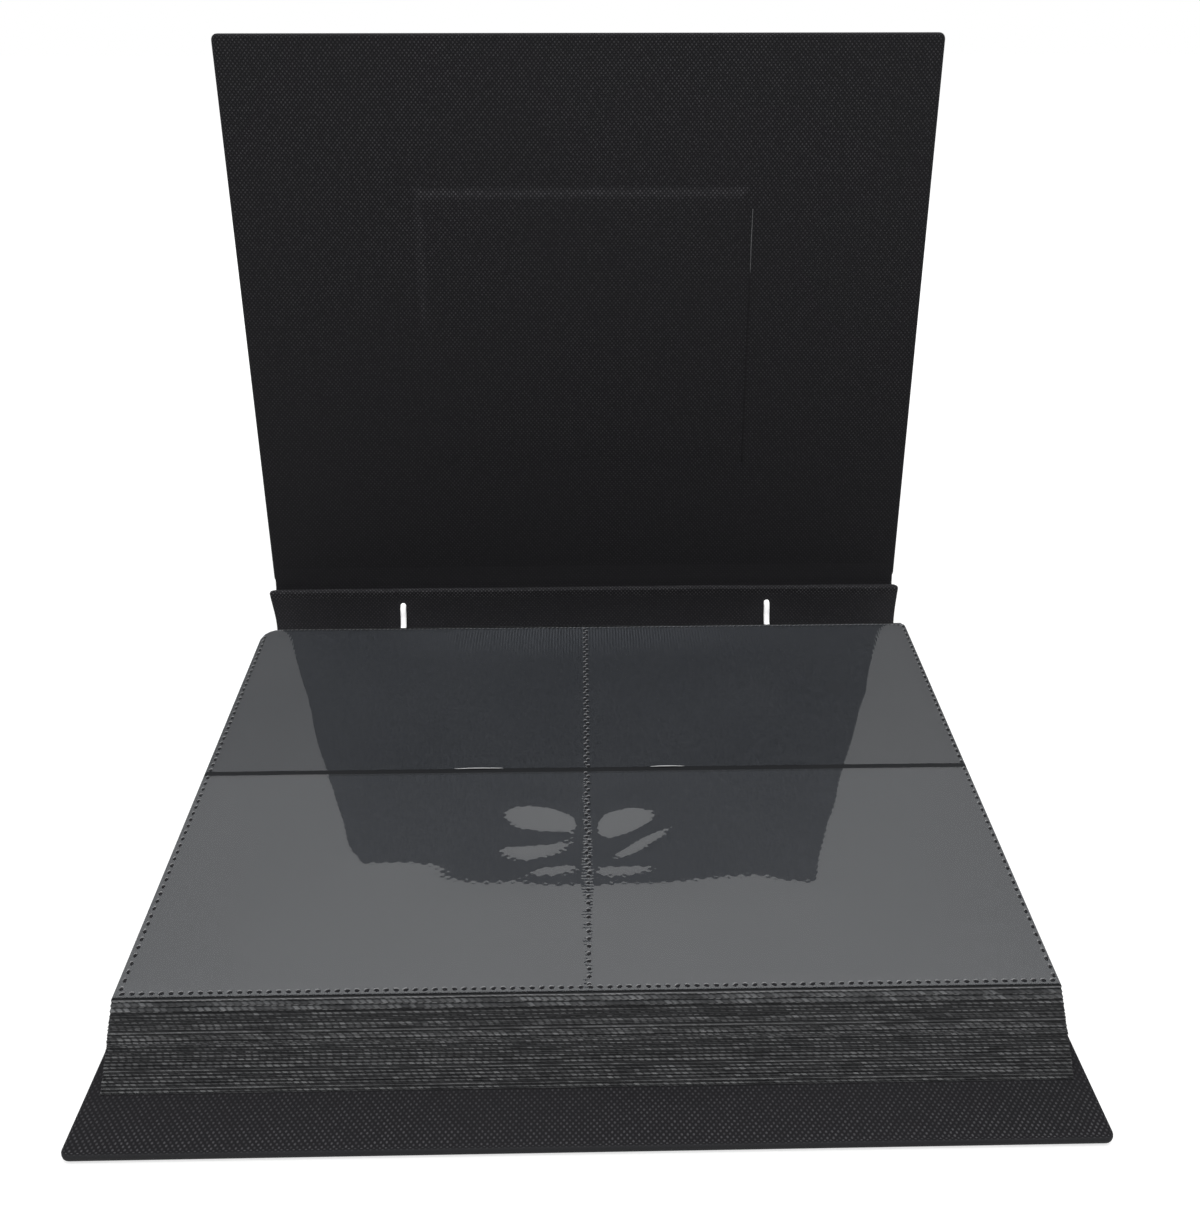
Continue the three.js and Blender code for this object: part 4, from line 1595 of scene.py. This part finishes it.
def whiteFloor():
    t = Tree("floor")
    matt = t.add("ShaderNodeBsdfDiffuse", {"Color": grey(stage["floor"])})
    level = t.ramp(t.vector("LENGTH", t.place()), *stage["far"], *stage["glow"])
    glow = t.add("ShaderNodeEmission", {"Color": grey(1.0), "Strength": t.times(t.seen(), level)})
    t.show(t.add("ShaderNodeAddShader", {0: matt.outputs[0], 1: glow.outputs[0]}))
    far, low = stage["size"], stage["level"]
    corners = [(-far, -far, low), (far, -far, low), (far, far, low), (-far, far, low)]
    floor = meshObject("floor", corners, [(0, 1, 2, 3)])
    finish(floor, t.material)


def paleWorld():
    world = bpy.data.worlds.new("pale")
    bpy.context.scene.world = world
    world.use_nodes = True
    t = Nodes(world.node_tree)
    height = t.split(t.add("ShaderNodeTexCoord").outputs["Generated"])["Z"]
    climb = t.ramp(height, 0.5, 0.8, stage["low"], 1.0, smooth=False)
    mirrored = t.add("ShaderNodeLightPath").outputs["Is Glossy Ray"]
    shown = t.add("ShaderNodeMix", {"Factor": mirrored, "A": stage["seen"], "B": climb}).outputs["Result"]
    back = t.nodes["Background"].inputs
    t.give(back["Color"], grey(1.0))
    t.give(back["Strength"], t.ramp(t.seen(), 0.0, 1.0, stage["world"], shown, smooth=False))


def lamp(name, place, target, size, power):
    data = bpy.data.lights.new(name, "AREA")
    data.shape = "SQUARE"
    data.size = size
    data.energy = power
    obj = bpy.data.objects.new(name, data)
    obj.location = place
    obj.rotation_euler = (Vector(target) - Vector(place)).to_track_quat("-Z", "Y").to_euler()
    bpy.context.scene.collection.objects.link(obj)
    obj.visible_glossy = False


whiteFloor()
paleWorld()
lamp("topLamp", (0, -0.15, 1.6), (0, 0, 0), 1.6, stage["top"])
lamp("frontLamp", (-0.5, -1.4, 0.9), (0, 0, 0.1), 1.2, stage["front"])

lens = {
    "pixels": 1033.8,       # focal length in pixels of a picture that is "frame" pixels wide
    "frame": 1212,
    "sensor": 36,           # mm
    "turn": 0.01705,        # radians: to the right, down, and rolled
    "down": 0.53987,
    "roll": -0.00096,
    "place": (-0.3, -326.3, 320.85),    # mm
}
turnCos, turnSin = math.cos(lens["turn"]), math.sin(lens["turn"])
downCos, downSin = math.cos(lens["down"]), math.sin(lens["down"])
look = Vector((turnSin * downCos, turnCos * downCos, -downSin))
right = Vector((turnCos, -turnSin, 0))
over = right.cross(look)
rollCos, rollSin = math.cos(lens["roll"]), math.sin(lens["roll"])
right, over = right * rollCos + over * rollSin, over * rollCos - right * rollSin
cameraData = bpy.data.cameras.new("camera")
cameraData.sensor_width = lens["sensor"]
cameraData.lens = lens["pixels"] / lens["frame"] * lens["sensor"]
camera = bpy.data.objects.new("camera", cameraData)
bpy.context.scene.collection.objects.link(camera)
rows = zip(right, over, -look, (c * mm for c in lens["place"]))
camera.matrix_world = Matrix((*rows, (0, 0, 0, 1)))
bpy.context.scene.camera = camera
bpy.context.scene.view_settings.view_transform = "Standard"
print("stage made")
